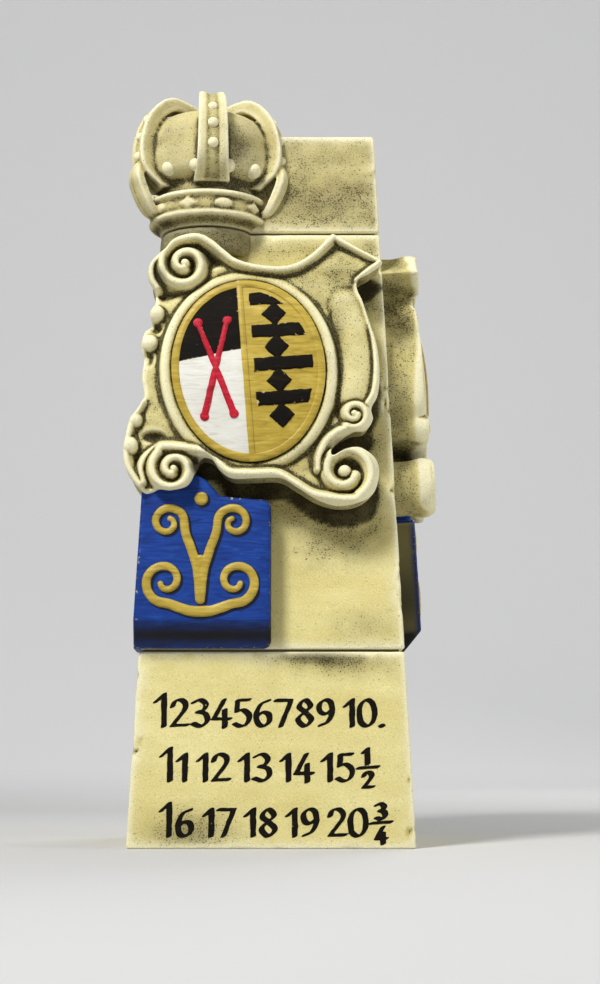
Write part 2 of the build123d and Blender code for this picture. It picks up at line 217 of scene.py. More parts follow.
def face_wear(points):
    """How far the rubbed faces lie below the true plane, in millimetres."""
    wide = 0.5 + 0.5 * lumps(points, 150.0, 1)
    near = 0.5 + 0.5 * lumps(points, 46.0, 2)
    return 0.8 * wide + 0.45 * near


def finish_mesh(name, points, faces, finish, crease=35):
    """A mesh piece from points in millimetres, smooth but for its sharp creases."""
    mesh = bpy.data.meshes.new(name)
    mesh.from_pydata((np.asarray(points) / 1000).tolist(), [], faces)
    mesh.validate()
    mesh.materials.append(finish)
    mesh.shade_smooth()
    mesh.set_sharp_from_angle(angle=radians(crease))
    piece = bpy.data.objects.new(name, mesh)
    scene.collection.objects.link(piece)
    return piece


def points_of(mesh):
    """The points of a mesh, in millimetres."""
    place = np.empty(len(mesh.vertices) * 3)
    mesh.vertices.foreach_get("co", place)
    return place.reshape(-1, 3) * 1000


def store(mesh, name, values):
    """Stores one value at each point of a mesh, for its material."""
    attribute = mesh.attributes.new(name, "FLOAT", "POINT")
    attribute.data.foreach_set("value", values.astype(np.float32))


def mark_hollows(piece, rounds, scale, share=1.0):
    """Stores how hollow or how proud each point is, against a smoothed copy of the mesh.

    Hollows count by their share, which is one number or a number for each point.
    """
    mesh = piece.data
    place = points_of(mesh)
    count = len(place)
    normal = np.empty(count * 3)
    mesh.vertices.foreach_get("normal", normal)
    normal = normal.reshape(-1, 3)
    edges = np.empty(len(mesh.edges) * 2, np.int32)
    mesh.edges.foreach_get("vertices", edges)
    edges = edges.reshape(-1, 2)
    neighbours = np.bincount(edges.ravel(), minlength=count).clip(1)
    smooth = place.copy()
    for _ in range(rounds):
        total = np.zeros_like(smooth)
        for axis in range(3):
            total[:, axis] = np.bincount(edges[:, 0], smooth[edges[:, 1], axis], count)
            total[:, axis] += np.bincount(edges[:, 1], smooth[edges[:, 0], axis], count)
        smooth = 0.4 * smooth + 0.6 * total / neighbours[:, None]
    depth = np.einsum("ij,ij->i", smooth - place, normal) / scale
    store(mesh, "hollow", share * depth.clip(0, 1))
    store(mesh, "ridge", (-depth).clip(0, 1))


def mark_soot_and_shade(piece, patches, base=0.0, place=None):
    """Stores how much soot and painted shade each point takes: an even base, and patches of a middle, a
    reach and a strength.
    """
    if place is None:
        place = points_of(piece.data)
    dirt_and_shade = np.full(len(place), base)
    for middle, reach, strength in patches:
        away = (place - np.array(middle)) / np.array(reach)
        dirt_and_shade += strength * np.exp(-np.sum(away * away, axis=1))
    store(piece.data, "soot_and_shade", dirt_and_shade.clip(0, 1))


def square_ring(half, radius):
    """The points of one square ring with rounded corners, front side first."""
    radius = min(radius, half)
    run = np.linspace(-1, 1, side_cells + 1) * (half - radius)
    turn = np.radians(-90 + 90 * np.arange(1, arris_cells) / arris_cells)
    x = np.r_[run, half - radius + radius * np.cos(turn)]
    y = np.r_[np.full(side_cells + 1, -half), radius - half + radius * np.sin(turn)]
    sides = []
    for c, s in ((1, 0), (0, 1), (-1, 0), (0, -1)):
        sides.append(np.stack([c * x - s * y, s * x + c * y], 1))
    return np.concatenate(sides)


def ring_faces(around, levels):
    """The faces of a stack of equal rings, closed at both ends, from the foot up."""
    faces = [tuple(range(around))[::-1]]
    for level in range(levels - 1):
        a, b = level * around, (level + 1) * around
        for i in range(around):
            j = (i + 1) % around
            faces.append((a + i, a + j, b + j, b + i))
    last = (levels - 1) * around
    faces.append(tuple(range(last, last + around)))
    return faces


def shaft_block(name, low, high, finish, worn_top=False):
    """One stone of the shaft between two heights, as a closed mesh."""
    curve = [radians(a) for a in (0, 30, 60)]
    levels = [(low + arris * (1 - cos(a)) * 0.9, arris * (1 - sin(a))) for a in curve]
    count = round((high - low - 2 * arris) / course_step)
    levels += [(z, 0) for z in np.linspace(low + arris, high - arris, count)]
    levels += [(high - z + low, inset) for z, inset in reversed(levels[:3])]
    if worn_top:
        insets = np.arange(top_step, half_width(high) - arris, top_step)
        levels += [(high, arris + inset) for inset in insets]
    rings = []
    for height, inset in levels:
        ring = square_ring(half_width(height) - inset, arris)
        rings.append(np.column_stack([ring, np.full(len(ring), height)]))
    points = np.concatenate(rings)
    flat = np.sort(np.abs(points[:, :2]), axis=1)
    half = half_width(points[:, 2])
    corner = np.exp(-np.maximum(half - flat[:, 0] - arris, 0) / 7)
    edge = np.exp(-np.minimum(points[:, 2] - low, high - points[:, 2]) / 6)
    chips = np.maximum(lumps(points, 26.0, 3) + 0.5 * lumps(points, 9.0, 4) - 0.35, 0)
    inward = face_wear(points) + chip_depth * chips * np.maximum(corner, 0.7 * edge)
    out = points[:, :2] ** 5
    out /= np.linalg.norm(out, axis=1)[:, None] + 1e-9
    on_top = (points[:, 2] >= high - 0.01) & (flat[:, 1] < half - 2 * arris)
    moved = np.where(on_top, 0, inward)
    points[:, :2] -= out * moved[:, None]
    if worn_top:
        pitted = 1.2 * np.maximum(lumps(points, 14.0, 7), 0)
        points[:, 2] -= np.where(on_top, face_wear(points) + pitted, 0)
    return finish_mesh(name, points, ring_faces(len(rings[0]), len(rings)), finish)


def sandstone(name, light, shade, dark):
    """Pale fine-grained sandstone: beds of colour, grain, pits, soot and painted shade in its hollows,
    and a painted highlight on proud edges.
    """
    finish = bpy.data.materials.new(name)
    finish.use_nodes = True
    add, sums, mix, ramp, noise = node_maker(finish)
    shader = finish.node_tree.nodes["Principled BSDF"]
    shader.inputs["Roughness"].default_value = 0.92
    shader.inputs["Specular IOR Level"].default_value = 0.2
    place = add("ShaderNodeTexCoord").outputs["Object"]
    beds = add("ShaderNodeMapping", {"Vector": place, "Scale": (1, 1, 3.5)}).outputs[0]
    cloud = noise(beds, 7.0, 5.0)
    patch = noise(place, 32.0, 4.0)
    grain = noise(place, 640.0, 2.0)
    speck = noise(place, 420.0, 1.0)
    hollow = add("ShaderNodeAttribute", attribute_name="hollow").outputs["Fac"]
    ridge = add("ShaderNodeAttribute", attribute_name="ridge").outputs["Fac"]
    soot_and_shade = add("ShaderNodeAttribute", attribute_name="soot_and_shade").outputs["Fac"]

    colour = mix(ramp(cloud, 0.35, 0.7), light, shade)
    colour = mix(ramp(patch, 0.5, 0.75, 0.0, 0.35), colour, shade)
    # Proud edges are lightened towards near white: a painted highlight, and stone washed clean.
    colour = mix(sums("MULTIPLY", ridge, 0.65), colour, highlit_washed_stone)

    # Hollows and stored dark patches darken the stone and thicken a stipple of dark specks: painted
    # shade, partly soot.
    dirt_and_shade = sums("ADD", sums("MULTIPLY", hollow, 1.3), sums("MULTIPLY", soot_and_shade, 0.9))
    washed_and_lit = sums("SUBTRACT", 1.0, sums("MULTIPLY", ridge, 0.85))
    broken = ramp(patch, 0.3, 0.62, 0.55, 1.15)
    dirt_and_shade = sums("MULTIPLY", sums("MULTIPLY", dirt_and_shade, broken), washed_and_lit, True)
    colour = mix(sums("MULTIPLY", dirt_and_shade, 0.8), colour, dark)
    dots = sums("SUBTRACT", speck, ramp(dirt_and_shade, 0.0, 1.0, 0.71, 0.42))
    dots = sums("MULTIPLY", dots, 14.0, True)
    colour = mix(sums("MULTIPLY", dots, 0.75), colour, dark)
    # Where the stored patches run high, the stone turns solid near black: a painted shadow under
    # overhangs.
    colour = mix(ramp(soot_and_shade, 0.6, 1.0, 0.0, 0.85), colour, dark)

    tone = ramp(grain, 0.3, 0.7, 0.86, 1.08)
    tones = add("ShaderNodeCombineColor", {0: tone, 1: tone, 2: tone}).outputs[0]
    colour = mix(1.0, colour, tones, "MULTIPLY")
    finish.node_tree.links.new(colour, shader.inputs["Base Color"])
    pits = add("ShaderNodeTexVoronoi", {"Vector": place, "Scale": 150.0}).outputs["Distance"]
    pits = ramp(pits, 0.0, 0.35, -1.0, 0.0)
    rough = sums("ADD", sums("MULTIPLY", grain, 1.1), sums("MULTIPLY", pits, 0.5))
    rough = sums("ADD", rough, sums("MULTIPLY", patch, 1.2))
    bump = add("ShaderNodeBump", {"Strength": 0.55, "Distance": 0.0016, "Height": rough})
    finish.node_tree.links.new(bump.outputs[0], shader.inputs["Normal"])
    return finish


# A near white for proud edges: painted highlight, and stone washed clean.
highlit_washed_stone = linear(250, 246, 216)
# A near black for hollows and overhangs: painted shade and shadow, and soot.
crust_and_shade = linear(42, 35, 14)
pale_stone = sandstone("pale_sandstone", linear(236, 224, 158), linear(222, 207, 134), crust_and_shade)
inscription = shaft_block("inscription_stone", 0, lower_joint[0], pale_stone)
mark_hollows(inscription, 12, 1.2)
# Darker patches below the upper joint, at the foot on the left and down the right face: painted shade,
# partly soot.
mark_soot_and_shade(
    inscription,
    [
        ((110, -215, 285), (90, 40, 22), 0.8),
        ((-120, -219, 20), (70, 40, 34), 0.75),
        ((30, -219, 288), (60, 40, 14), 0.6),
        ((219, 0, 120), (20, 170, 170), 0.25),
    ],
)
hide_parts("inscription_stone")
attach(inscription, "root")


# Painted rows
# Three rows of plain numbers, written on the bare stone in black oil paint with a broad brush.
# The upright strokes are thick and the slanting joins thin, and the coat follows the stone.
shield_across = -36.0
shield_height = 727.0
rows_written = (
    ("123456789 10.", "", 183.0),
    ("11 12 13 14 15", "12", 101.0),
    ("16 17 18 19 20", "34", 19.0),
)
row_start = -178.0
row_indent = 10.0
figure_height = 40.0
fraction_height = 19.0
figure_gap = 7.0
first_figure_size = 1.22
figure_widths = {"1": 0.38, ".": 0.2, " ": 0.22}
brush_long = 4.9
brush_short = 1.8
brush_angle = radians(24)
figure_strokes = {
    "0": ["o", (0.31, 0.0), (0.06, 0.2), (0.05, 0.75), (0.31, 1.0), (0.56, 0.8), (0.57, 0.25)],
    "1": ["s", (0.04, 0.76), (0.3, 1.0), (0.3, 0.0)],
    "2": ["c", (0.05, 0.74), (0.14, 0.94), (0.36, 1.0), (0.54, 0.84), (0.48, 0.58), (0.05, 0.03)],
    "2b": ["s", (0.05, 0.03), (0.62, 0.05)],
    "3": ["c", (0.05, 0.9), (0.3, 1.0), (0.52, 0.84), (0.44, 0.62), (0.22, 0.55)],
    "3b": ["c", (0.22, 0.55), (0.52, 0.46), (0.58, 0.2), (0.34, 0.0), (0.03, 0.1)],
    "4": ["s", (0.42, 1.0), (0.03, 0.28), (0.64, 0.28)],
    "4b": ["s", (0.45, 0.62), (0.45, -0.04)],
    "5": ["s", (0.56, 1.0), (0.14, 0.98), (0.11, 0.56)],
    "5b": ["c", (0.11, 0.56), (0.36, 0.62), (0.58, 0.4), (0.5, 0.1), (0.26, 0.0), (0.03, 0.1)],
    "6": ["c", (0.52, 0.97), (0.22, 0.82), (0.06, 0.45), (0.12, 0.1), (0.32, 0.0), (0.55, 0.18),
          (0.52, 0.44), (0.32, 0.54), (0.1, 0.38)],
    "7": ["s", (0.03, 0.98), (0.58, 0.98), (0.2, 0.0)],
    "8": ["o", (0.31, 0.54), (0.09, 0.74), (0.31, 1.0), (0.53, 0.76), (0.31, 0.54), (0.05, 0.26),
          (0.31, 0.0), (0.57, 0.26)],
    "9": ["c", (0.1, 0.03), (0.4, 0.18), (0.56, 0.55), (0.5, 0.9), (0.3, 1.0), (0.07, 0.82),
          (0.1, 0.56), (0.3, 0.46), (0.52, 0.62)],
    ".": ["s", (0.05, 0.04), (0.11, 0.0)],
    "/": ["s", (-0.15, -0.22), (0.75, -0.16)],
}


def lay_on_face(points, side):
    """Takes points drawn about the shield, across, up and out, to the front or right face."""
    across = points[:, 0] + shield_across
    up = points[:, 1] + shield_height
    out = points[:, 2]
    level = out * sin(batter) + up * cos(batter)
    depth = foot_width / 2 + out * cos(batter) - up * sin(batter)
    if side == "front":
        return np.stack([across, -depth, level], 1)
    return np.stack([depth, -across, level], 1)


def smooth_line(points, closed=False, fine=8):
    """A smooth line through the points, as many short straights."""
    p = np.array(points, float)
    if closed:
        p = np.concatenate([p[-1:], p, p[:2]])
    else:
        p = np.concatenate([2 * p[:1] - p[1:2], p, 2 * p[-1:] - p[-2:-1]])
    t = np.arange(fine)[:, None] / fine
    parts = []
    for i in range(1, len(p) - 2):
        a, b, c, d = p[i - 1 : i + 3]
        part = 2 * b + (c - a) * t + (2 * a - 5 * b + 4 * c - d) * t**2
        parts.append((part + (3 * b - a - 3 * c + d) * t**3) / 2)
    if not closed:
        parts.append(p[-2:-1])
    return np.concatenate(parts)


def from_line(u, v, line, reach):
    """Each point's distance from a line, where it is within reach, and its share along it."""
    best = np.full(u.shape, 1e6)
    share = np.zeros(u.shape)
    low, high = line.min(0) - reach, line.max(0) + reach
    near = (u > low[0]) & (u < high[0]) & (v > low[1]) & (v < high[1])
    x, y = u[near], v[near]
    d, s = best[near], share[near]
    for i in range(len(line) - 1):
        a, run = line[i], line[i + 1] - line[i]
        t = (((x - a[0]) * run[0] + (y - a[1]) * run[1]) / (run @ run + 1e-9)).clip(0, 1)
        away = np.hypot(x - a[0] - t * run[0], y - a[1] - t * run[1])
        closer = away < d
        d = np.where(closer, away, d)
        s = np.where(closer, (i + t) / (len(line) - 1), s)
    best[near], share[near] = d, s
    return best, share


def cut_shape(reach, step, inside, front, back, walls=()):
    """A closed mesh of a carved shape: its front over the outline, walls round it and a back.

    The back is one flat depth, or a function that gives a depth at each point. The walls are
    given as a share of the way down and how far they are cut in under the front's edge. The
    points come first, then the faces and the number of points on the front.
    """
    us = np.arange(reach[0], reach[1] + step, step)
    vs = np.arange(reach[2], reach[3] + step, step)
    cu, cv = np.meshgrid(us[:-1] + step / 2, vs[:-1] + step / 2, indexing="ij")
    cell = inside(cu, cv) > 0
    cell[0] = cell[-1] = False
    cell[:, 0] = cell[:, -1] = False
    for _ in range(3):
        a, b, c, d = cell[:-1, :-1], cell[1:, 1:], cell[1:, :-1], cell[:-1, 1:]
        touch = a & b & ~c & ~d
        cell[1:, :-1] |= touch
        touch = c & d & ~a & ~b
        cell[:-1, :-1] |= touch
    used = np.zeros((len(us), len(vs)), bool)
    for i, j in ((0, 0), (1, 0), (0, 1), (1, 1)):
        used[i : len(us) - 1 + i, j : len(vs) - 1 + j] |= cell
    number = np.full(used.shape, -1)
    number[used] = np.arange(used.sum())
    gu, gv = np.meshgrid(us, vs, indexing="ij")
    flat = np.stack([gu[used], gv[used]], 1)
    i, j = np.nonzero(cell)
    quads = np.stack([number[i, j], number[i + 1, j], number[i + 1, j + 1], number[i, j + 1]], 1)
    open_sides = []
    for di, dj, a, b in (
        (0, -1, (0, 0), (1, 0)),
        (1, 0, (1, 0), (1, 1)),
        (0, 1, (1, 1), (0, 1)),
        (-1, 0, (0, 1), (0, 0)),
    ):
        free = ~cell[i + di, j + dj]
        x, y = i[free], j[free]
        open_sides.append(np.stack([number[x + a[0], y + a[1]], number[x + b[0], y + b[1]]], 1))
    edges = np.concatenate(open_sides)
    rim = np.unique(edges)

    def inward(q):
        e = 0.25
        gx = (inside(q[:, 0] + e, q[:, 1]) - inside(q[:, 0] - e, q[:, 1])) / (2 * e)
        gy = (inside(q[:, 0], q[:, 1] + e) - inside(q[:, 0], q[:, 1] - e)) / (2 * e)
        return np.stack([gx, gy], 1)

    for _ in range(3):
        q = flat[rim]
        slope = inward(q)
        move = -inside(q[:, 0], q[:, 1])[:, None] * slope
        move /= np.sum(slope**2, 1)[:, None] + 0.05
        size = np.linalg.norm(move, axis=1)[:, None] + 1e-9
        flat[rim] = q + move * np.minimum(1, 0.45 * step / size)
    top = front(flat[:, 0], flat[:, 1])
    points = [np.column_stack([flat, top])]
    faces = [quads]
    slot = np.full(len(flat), -1)
    slot[rim] = np.arange(len(rim))
    upper = rim
    count = len(flat)
    thin = callable(back)
    floor_at = back(flat[rim, 0], flat[rim, 1]) if thin else np.full(len(rim), back)
    direction = inward(flat[rim])
    direction /= np.linalg.norm(direction, axis=1)[:, None] + 1e-9
    e0, e1 = slot[edges[:, 0]], slot[edges[:, 1]]
    for share, cut in [*walls, (1.0, walls[-1][1] if walls else 0.0)]:
        if thin and share == 1.0:
            lower = rim + count
        else:
            ring = flat[rim] + direction * cut
            depth = top[rim] + (floor_at - top[rim]) * share
            points.append(np.column_stack([ring, depth]))
            lower = np.arange(count, count + len(rim))
            count += len(rim)
        faces.append(np.stack([upper[e0], lower[e0], lower[e1], upper[e1]], 1))
        upper = lower
    faces = np.concatenate(faces).tolist()
    if thin:
        points.append(np.column_stack([flat, back(flat[:, 0], flat[:, 1])]))
        faces += (quads[:, ::-1] + len(flat)).tolist()
    else:
        ahead = dict(zip(e0.tolist(), e1.tolist()))
        while ahead:
            start, at = ahead.popitem()
            loop = [start]
            while at != start:
                loop.append(at)
                at = ahead.pop(at)
            faces.append([int(upper[k]) for k in loop[::-1]])
    return np.concatenate(points), faces, len(flat)


def place_shape(name, shape, side, finish, crease=60):
    """Lays a cut shape on one face of the post."""
    points, faces, _ = shape
    if side == "right":
        faces = [face[::-1] for face in faces]
    return finish_mesh(name, lay_on_face(points, side), faces, finish, crease)


def write_row(figures, left, base, tall):
    """The strokes of one row of figures, as lines, and where the row ends."""
    lines = []
    for place, figure in enumerate(figures):
        height = tall * (first_figure_size if place == 0 else 1.0)
        for part in (figure, figure + "b"):
            if part in figure_strokes:
                kind, *points = figure_strokes[part]
                line = np.array(points) if kind == "s" else smooth_line(points, kind == "o", 5)
                if kind == "o":
                    line = np.concatenate([line, line[:1]])
                lines.append(line * height + (left, base))
        width = figure_widths.get(figure, 0.62)
        left += width * height + (figure_gap if figure != " " else 0)
    return lines, left


def paint_coat(name, colour, pale, dark, under, gloss, worn):
    """Old oil paint: brushed streaks of a paler and a darker tone, worn through here and there, and
    darkened towards black where painted shade is stored.
    """
    finish = bpy.data.materials.new(name)
    finish.use_nodes = True
    add, sums, mix, ramp, noise = node_maker(finish)
    shader = finish.node_tree.nodes["Principled BSDF"]
    shader.inputs["Roughness"].default_value = gloss
    shader.inputs["Specular IOR Level"].default_value = (1 - gloss) / 2
    place = add("ShaderNodeTexCoord").outputs["Object"]
    along = add("ShaderNodeMapping", {"Vector": place, "Scale": (22, 22, 150)}).outputs[0]
    streak = noise(along, 1.0, 4.0, 1.4)
    patch = noise(place, 26.0, 5.0)
    flake = noise(place, 170.0, 6.0)
    ridge = add("ShaderNodeAttribute", attribute_name="ridge").outputs["Fac"]
    soot_and_shade = add("ShaderNodeAttribute", attribute_name="soot_and_shade").outputs["Fac"]
    peeled = add("ShaderNodeAttribute", attribute_name="peeled").outputs["Fac"]
    mixed = mix(sums("MULTIPLY", ramp(streak, 0.52, 0.72), 0.6), colour, pale)
    mixed = mix(sums("MULTIPLY", ramp(streak, 0.48, 0.3), 0.6), mixed, dark)
    mixed = mix(ramp(patch, 0.45, 0.75, 0.0, 0.35), mixed, dark)
    bare = sums("ADD", sums("MULTIPLY", ridge, 0.16), sums("MULTIPLY", patch, 0.25))
    bare = sums("SUBTRACT", sums("ADD", flake, bare), 0.96 - 0.1 * worn)
    bare = sums("MAXIMUM", sums("MULTIPLY", bare, 22.0, True), peeled)
    mixed = mix(bare, mixed, under)
    # Stored patches darken the paint to near black: painted shade.
    mixed = mix(soot_and_shade, mixed, linear(6, 7, 9))
    finish.node_tree.links.new(mixed, shader.inputs["Base Color"])
    body = sums("ADD", sums("MULTIPLY", streak, 1.0), sums("MULTIPLY", flake, 0.35))
    body = sums("SUBTRACT", body, sums("MULTIPLY", bare, 0.5))
    bump = add("ShaderNodeBump", {"Strength": 0.4, "Distance": 0.0008, "Height": body})
    finish.node_tree.links.new(bump.outputs[0], shader.inputs["Normal"])
    return finish


row_lines = []
for figures, fraction, base in rows_written:
    indent = row_indent if fraction else 0.0
    lines, end = write_row(figures, row_start + indent - shield_across, base, figure_height)
    row_lines += lines
    if fraction:
        row_lines += write_row(fraction[0], end + 8, base + 25, fraction_height)[0]
        row_lines += write_row(fraction[1], end + 8, base - 10, fraction_height)[0]
        row_lines += write_row("/", end + 6, base + 26, 26)[0]
for line in row_lines:
    line[:, 1] -= shield_height


def brushed(u, v):
    """Distance inside the brush strokes, in a space where the brush's flat tip is round."""
    c, s = cos(brush_angle), sin(brush_angle)

    def turned(x, y):
        return (x * c + y * s) / brush_long, (y * c - x * s) / brush_short

    ragged = lumps(np.stack([u.ravel(), v.ravel(), 0 * u.ravel()], 1), 7.0, 21).reshape(u.shape)
    best = np.full(u.shape, -9.0)
    x, y = turned(u, v)
    for line in row_lines:
        near = (np.abs(u - line[:, 0].mean()) < 45) & (np.abs(v - line[:, 1].mean()) < 50)
        if near.any():
            tip = np.stack(turned(line[:, 0], line[:, 1]), 1)
            best[near] = np.maximum(best[near], 1 - from_line(x[near], y[near], tip, 6.0)[0])
    return (best + 0.14 * ragged) * 2.0


def on_stone(lift):
    """The worn face of the stone, raised by a coat's thickness."""

    def height(u, v):
        flat = lay_on_face(np.stack([u, v, np.zeros_like(u)], 1), "front")
        return lift - face_wear(flat)

    return height


black_coat = paint_coat(
    "black_paint",
    linear(16, 11, 5), linear(38, 29, 17), linear(8, 5, 3), linear(196, 180, 120), 0.75, 0.9,
)
rows_shape = cut_shape((-150, 262, -722, -470), 1.4, brushed, on_stone(0.35), on_stone(-0.8))
rows = place_shape("painted_rows", rows_shape, "front", black_coat)
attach(rows, "root")


# Mortar beds and the iron inside
# Lime mortar raked back from the faces, so that each joint shows as a dark line. The wrought
# dowels and the lead poured round them lie inside the stones.
mortar = linear(120, 108, 76)
mortar_finish = sandstone("raked_mortar", mortar, linear(92, 82, 56), linear(30, 24, 12))
iron_finish = bpy.data.materials.new("wrought_iron")
lead_finish = bpy.data.materials.new("poured_lead")
for finish, first, second, size, metal in (
    (iron_finish, linear(74, 62, 54), linear(120, 70, 42), 60.0, 0.6),
    (lead_finish, linear(128, 130, 134), linear(98, 100, 106), 30.0, 0.8),
):
    finish.use_nodes = True
    add, sums, mix, ramp, noise = node_maker(finish)
    shader = finish.node_tree.nodes["Principled BSDF"]
    shader.inputs["Metallic"].default_value = metal
    shader.inputs["Roughness"].default_value = 0.65
    place = add("ShaderNodeTexCoord").outputs["Object"]
    rust = noise(place, size, 5.0)
    finish.node_tree.links.new(mix(rust, first, second), shader.inputs["Base Color"])
    bump = add("ShaderNodeBump", {"Strength": 0.4, "Distance": 0.001, "Height": rust})
    finish.node_tree.links.new(bump.outputs[0], shader.inputs["Normal"])
for node, finish in (
    ("lower_bed", mortar_finish),
    ("upper_bed", mortar_finish),
    ("lower_dowel", iron_finish),
    ("upper_dowel", iron_finish),
    ("lower_dowel_lead", lead_finish),
    ("upper_dowel_lead", lead_finish),
):
    nodes_at_rest[node].data.materials.clear()
    nodes_at_rest[node].data.materials.append(finish)


# Arms stone
# The middle block of the shaft, which the frame, the shields and the tablets are carved from.
# The plain parts of its faces are rubbed like the stone below.
arms_shaft = shaft_block("arms_stone_shaft", lower_joint[1], upper_joint[0], pale_stone)
mark_hollows(arms_shaft, 12, 1.2)
# Darker patches under the lower right scroll, down the wing's right edge, at the foot on the right, along
# the upper joint, on the right face and by the crown's neck: painted shadow and shade, partly soot.
mark_soot_and_shade(
    arms_shaft,
    [
        ((85, -205, 462), (58, 30, 34), 0.6),
        ((168, -190, 690), (14, 20, 100), 0.5),
        ((205, -40, 640), (30, 160, 90), 0.3),
        ((150, -206, 330), (60, 30, 30), 0.35),
        ((0, -180, 940), (160, 30, 26), 0.5),
        ((158, -180, 938), (26, 30, 34), 0.5),
        ((-180, -120, 940), (30, 90, 40), 0.8),
    ],
)
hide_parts("arms_stone")
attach(arms_shaft, "root")


# Scrolled frames
# Each frame is carved in the block as one deep relief: rolled edges that end in four scrolls,
# hollows cut in behind them, a folded wing, and a moulded border round the bowed shield.
shield_half_width = 118.0
shield_half_height = 144.0
shield_tilt = radians(4.5)
dome_top = 70.8
carving_back = -58.0
ground_height = 46.0
cheek_crest = 57.0
border_radius = 9.5
edge_radius = 4.0


def coil(eye, outer, inner, start, sweep, count):
    """Points of a scroll that winds in from its outer to its inner radius."""
    points = []
    for i in range(count):
        share = i / (count - 1)
        radius = outer + (inner - outer) * share
        angle = radians(start + sweep * share)
        points.append((eye[0] + radius * cos(angle), eye[1] + radius * sin(angle)))
    return points


def in_loop(u, v, loop):
    """Distance inside a closed line, and below nought outside it."""
    ends = np.concatenate([loop, loop[:1]])
    distance = from_line(u, v, ends, 500.0)[0]
    crossings = np.zeros(u.shape, bool)
    for a, b in zip(ends[:-1], ends[1:]):
        if a[1] != b[1]:
            over = (v >= min(a[1], b[1])) & (v < max(a[1], b[1]))
            crossings ^= over & (u < a[0] + (v - a[1]) * (b[0] - a[0]) / (b[1] - a[1]))
    return np.where(crossings, distance, -distance)


def from_oval(u, v):
    """Distance outside the shield's oval, and below nought inside it."""
    x = u * cos(shield_tilt) + v * sin(shield_tilt)
    y = v * cos(shield_tilt) - u * sin(shield_tilt)
    size = np.hypot(x / shield_half_width, y / shield_half_height) + 1e-9
    slope = np.hypot(x / shield_half_width**2, y / shield_half_height**2) / size
    return (size - 1) / (slope + 1e-9)


def soft_max(a, b, width):
    """The higher of two heights, with a rounded inner corner."""
    share = (0.5 + 0.5 * (b - a) / width).clip(0, 1)
    return a * (1 - share) + b * share + width * share * (1 - share)


frame_outline = smooth_line(
    [
        (-158, -192), (-180, -170), (-191.3, -140), (-189.5, -108), (-183, -78), (-168, -56),
        (-162, -36), (-166, -10), (-163, 18), (-168, 40), (-163, 62), (-152, 74), (-154, 92),
        (-147, 108), (-148, 128), (-158, 148), (-158, 168), (-148, 184), (-132, 194),
        (-120, 209), (-100, 220), (-78, 221), (-58, 211), (-38, 193), (-18, 178), (18, 169),
        (58, 168), (88, 180), (112, 200), (133, 221), (170, 199), (208, 177), (190, 158),
        (168, 141), (178, 108), (188, 76), (199, 40), (203, 0), (200, -36), (190, -58),
        (192, -76), (180, -94), (160, -98), (141, -109), (128, -124), (130, -136), (150, -126),
        (176, -122), (196, -138), (201, -162), (192, -192), (168, -209), (136, -213),
        (104, -204), (76, -187), (48, -171), (10, -171), (-24, -171), (-42, -160),
        (-56, -142), (-72, -140), (-80, -160), (-92, -182), (-116, -190), (-138, -188),
    ],
    closed=True,
)
upper_scroll = smooth_line(
    coil((-100, 170), 8, 43, 620, -540, 22)[:-1]
    + [(-82, 215), (-62, 206), (-42, 190), (-20, 174), (18, 164), (58, 163), (90, 176), (131, 214)]
)
lower_scroll = smooth_line(
    coil((148, -160), 17, 45, 690, -410, 18)
    + [(102, -197), (70, -179), (42, -164), (6, -164), (-26, -162), (-46, -148), (-64, -130)]
    + coil((-114, -157), 37, 8, 108, 500, 20)
)
small_scroll = smooth_line(
    [(108, -156), (109, -136), (120, -112), (138, -97), (150, -92)]
    + coil((163, -70), 22, 6, 236, 460, 14)
)
top_edge = smooth_line([(131, 215), (170, 194), (204, 176)])
fold_edge = smooth_line([(204, 174), (186, 160), (171, 146)])
wing_edge = smooth_line([(172, 139), (181, 105), (190, 72), (196, 34), (197, -4), (193, -34), (183, -52)])
ear_edge = smooth_line([(-124, 199), (-140, 186), (-152, 170), (-152, 150), (-143, 134)])
lobe_edge = smooth_line([(-166, -52), (-180, -84), (-188, -120), (-184, -152), (-166, -180)])
lobe_fold = smooth_line([(-96, -118), (-128, -116), (-152, -130), (-164, -152), (-160, -176)])
cheek_line = smooth_line([(150, 108), (166, 60), (171, 10), (164, -34)])
trough_line = smooth_line([(138, 84), (140, 40), (140, -10), (142, -60)])
rolls = (
    (upper_scroll, 7.0, 8.5, 70.0, 62.0),
    (lower_scroll, 9.0, 8.0, 66.0, 68.0),
    (small_scroll, 7.5, 6.5, 60.0, 66.0),
    (top_edge, 5.0, 5.0, 60.0, 56.0),
    (fold_edge, 6.0, 6.0, 58.0, 60.0),
    (wing_edge, 6.5, 6.0, 58.0, 56.0),
    (ear_edge, 7.0, 6.0, 58.0, 54.0),
    (lobe_edge, 9.0, 9.0, 58.0, 58.0),
    (lobe_fold, 6.5, 7.0, 56.0, 58.0),
)
hollows = (
    (-62, 184, 24, 15, 15.0),
    (-132, 138, 21, 26, 17.0),
    (-100, 170, 36, 36, 9.0),
    (-114, -157, 34, 34, 8.0),
    (148, -160, 36, 36, 9.0),
    (148, -122, 20, 16, 13.0),
    (163, -70, 20, 20, 7.0),
    (-172, -144, 13, 22, 12.0),
    (-146, -104, 16, 9, 10.0),
    (-76, -150, 14, 14, 12.0),
    (186, 134, 14, 14, 11.0),
    (-145, 70, 9, 9, 9.0),
    (-156, 20, 8, 12, 6.0),
)
bosses = (
    (-100, 170, 6.5, 70.0),
    (-114, -157, 6.0, 66.0),
    (148, -160, 9.0, 67.0),
    (163, -70, 5.0, 66.0),
    (-145, 92, 14.0, 60.0),
    (-154, 45, 14.0, 58.0),
    (-176, -78, 13.0, 60.0),
    (-184, -118, 15.0, 62.0),
)
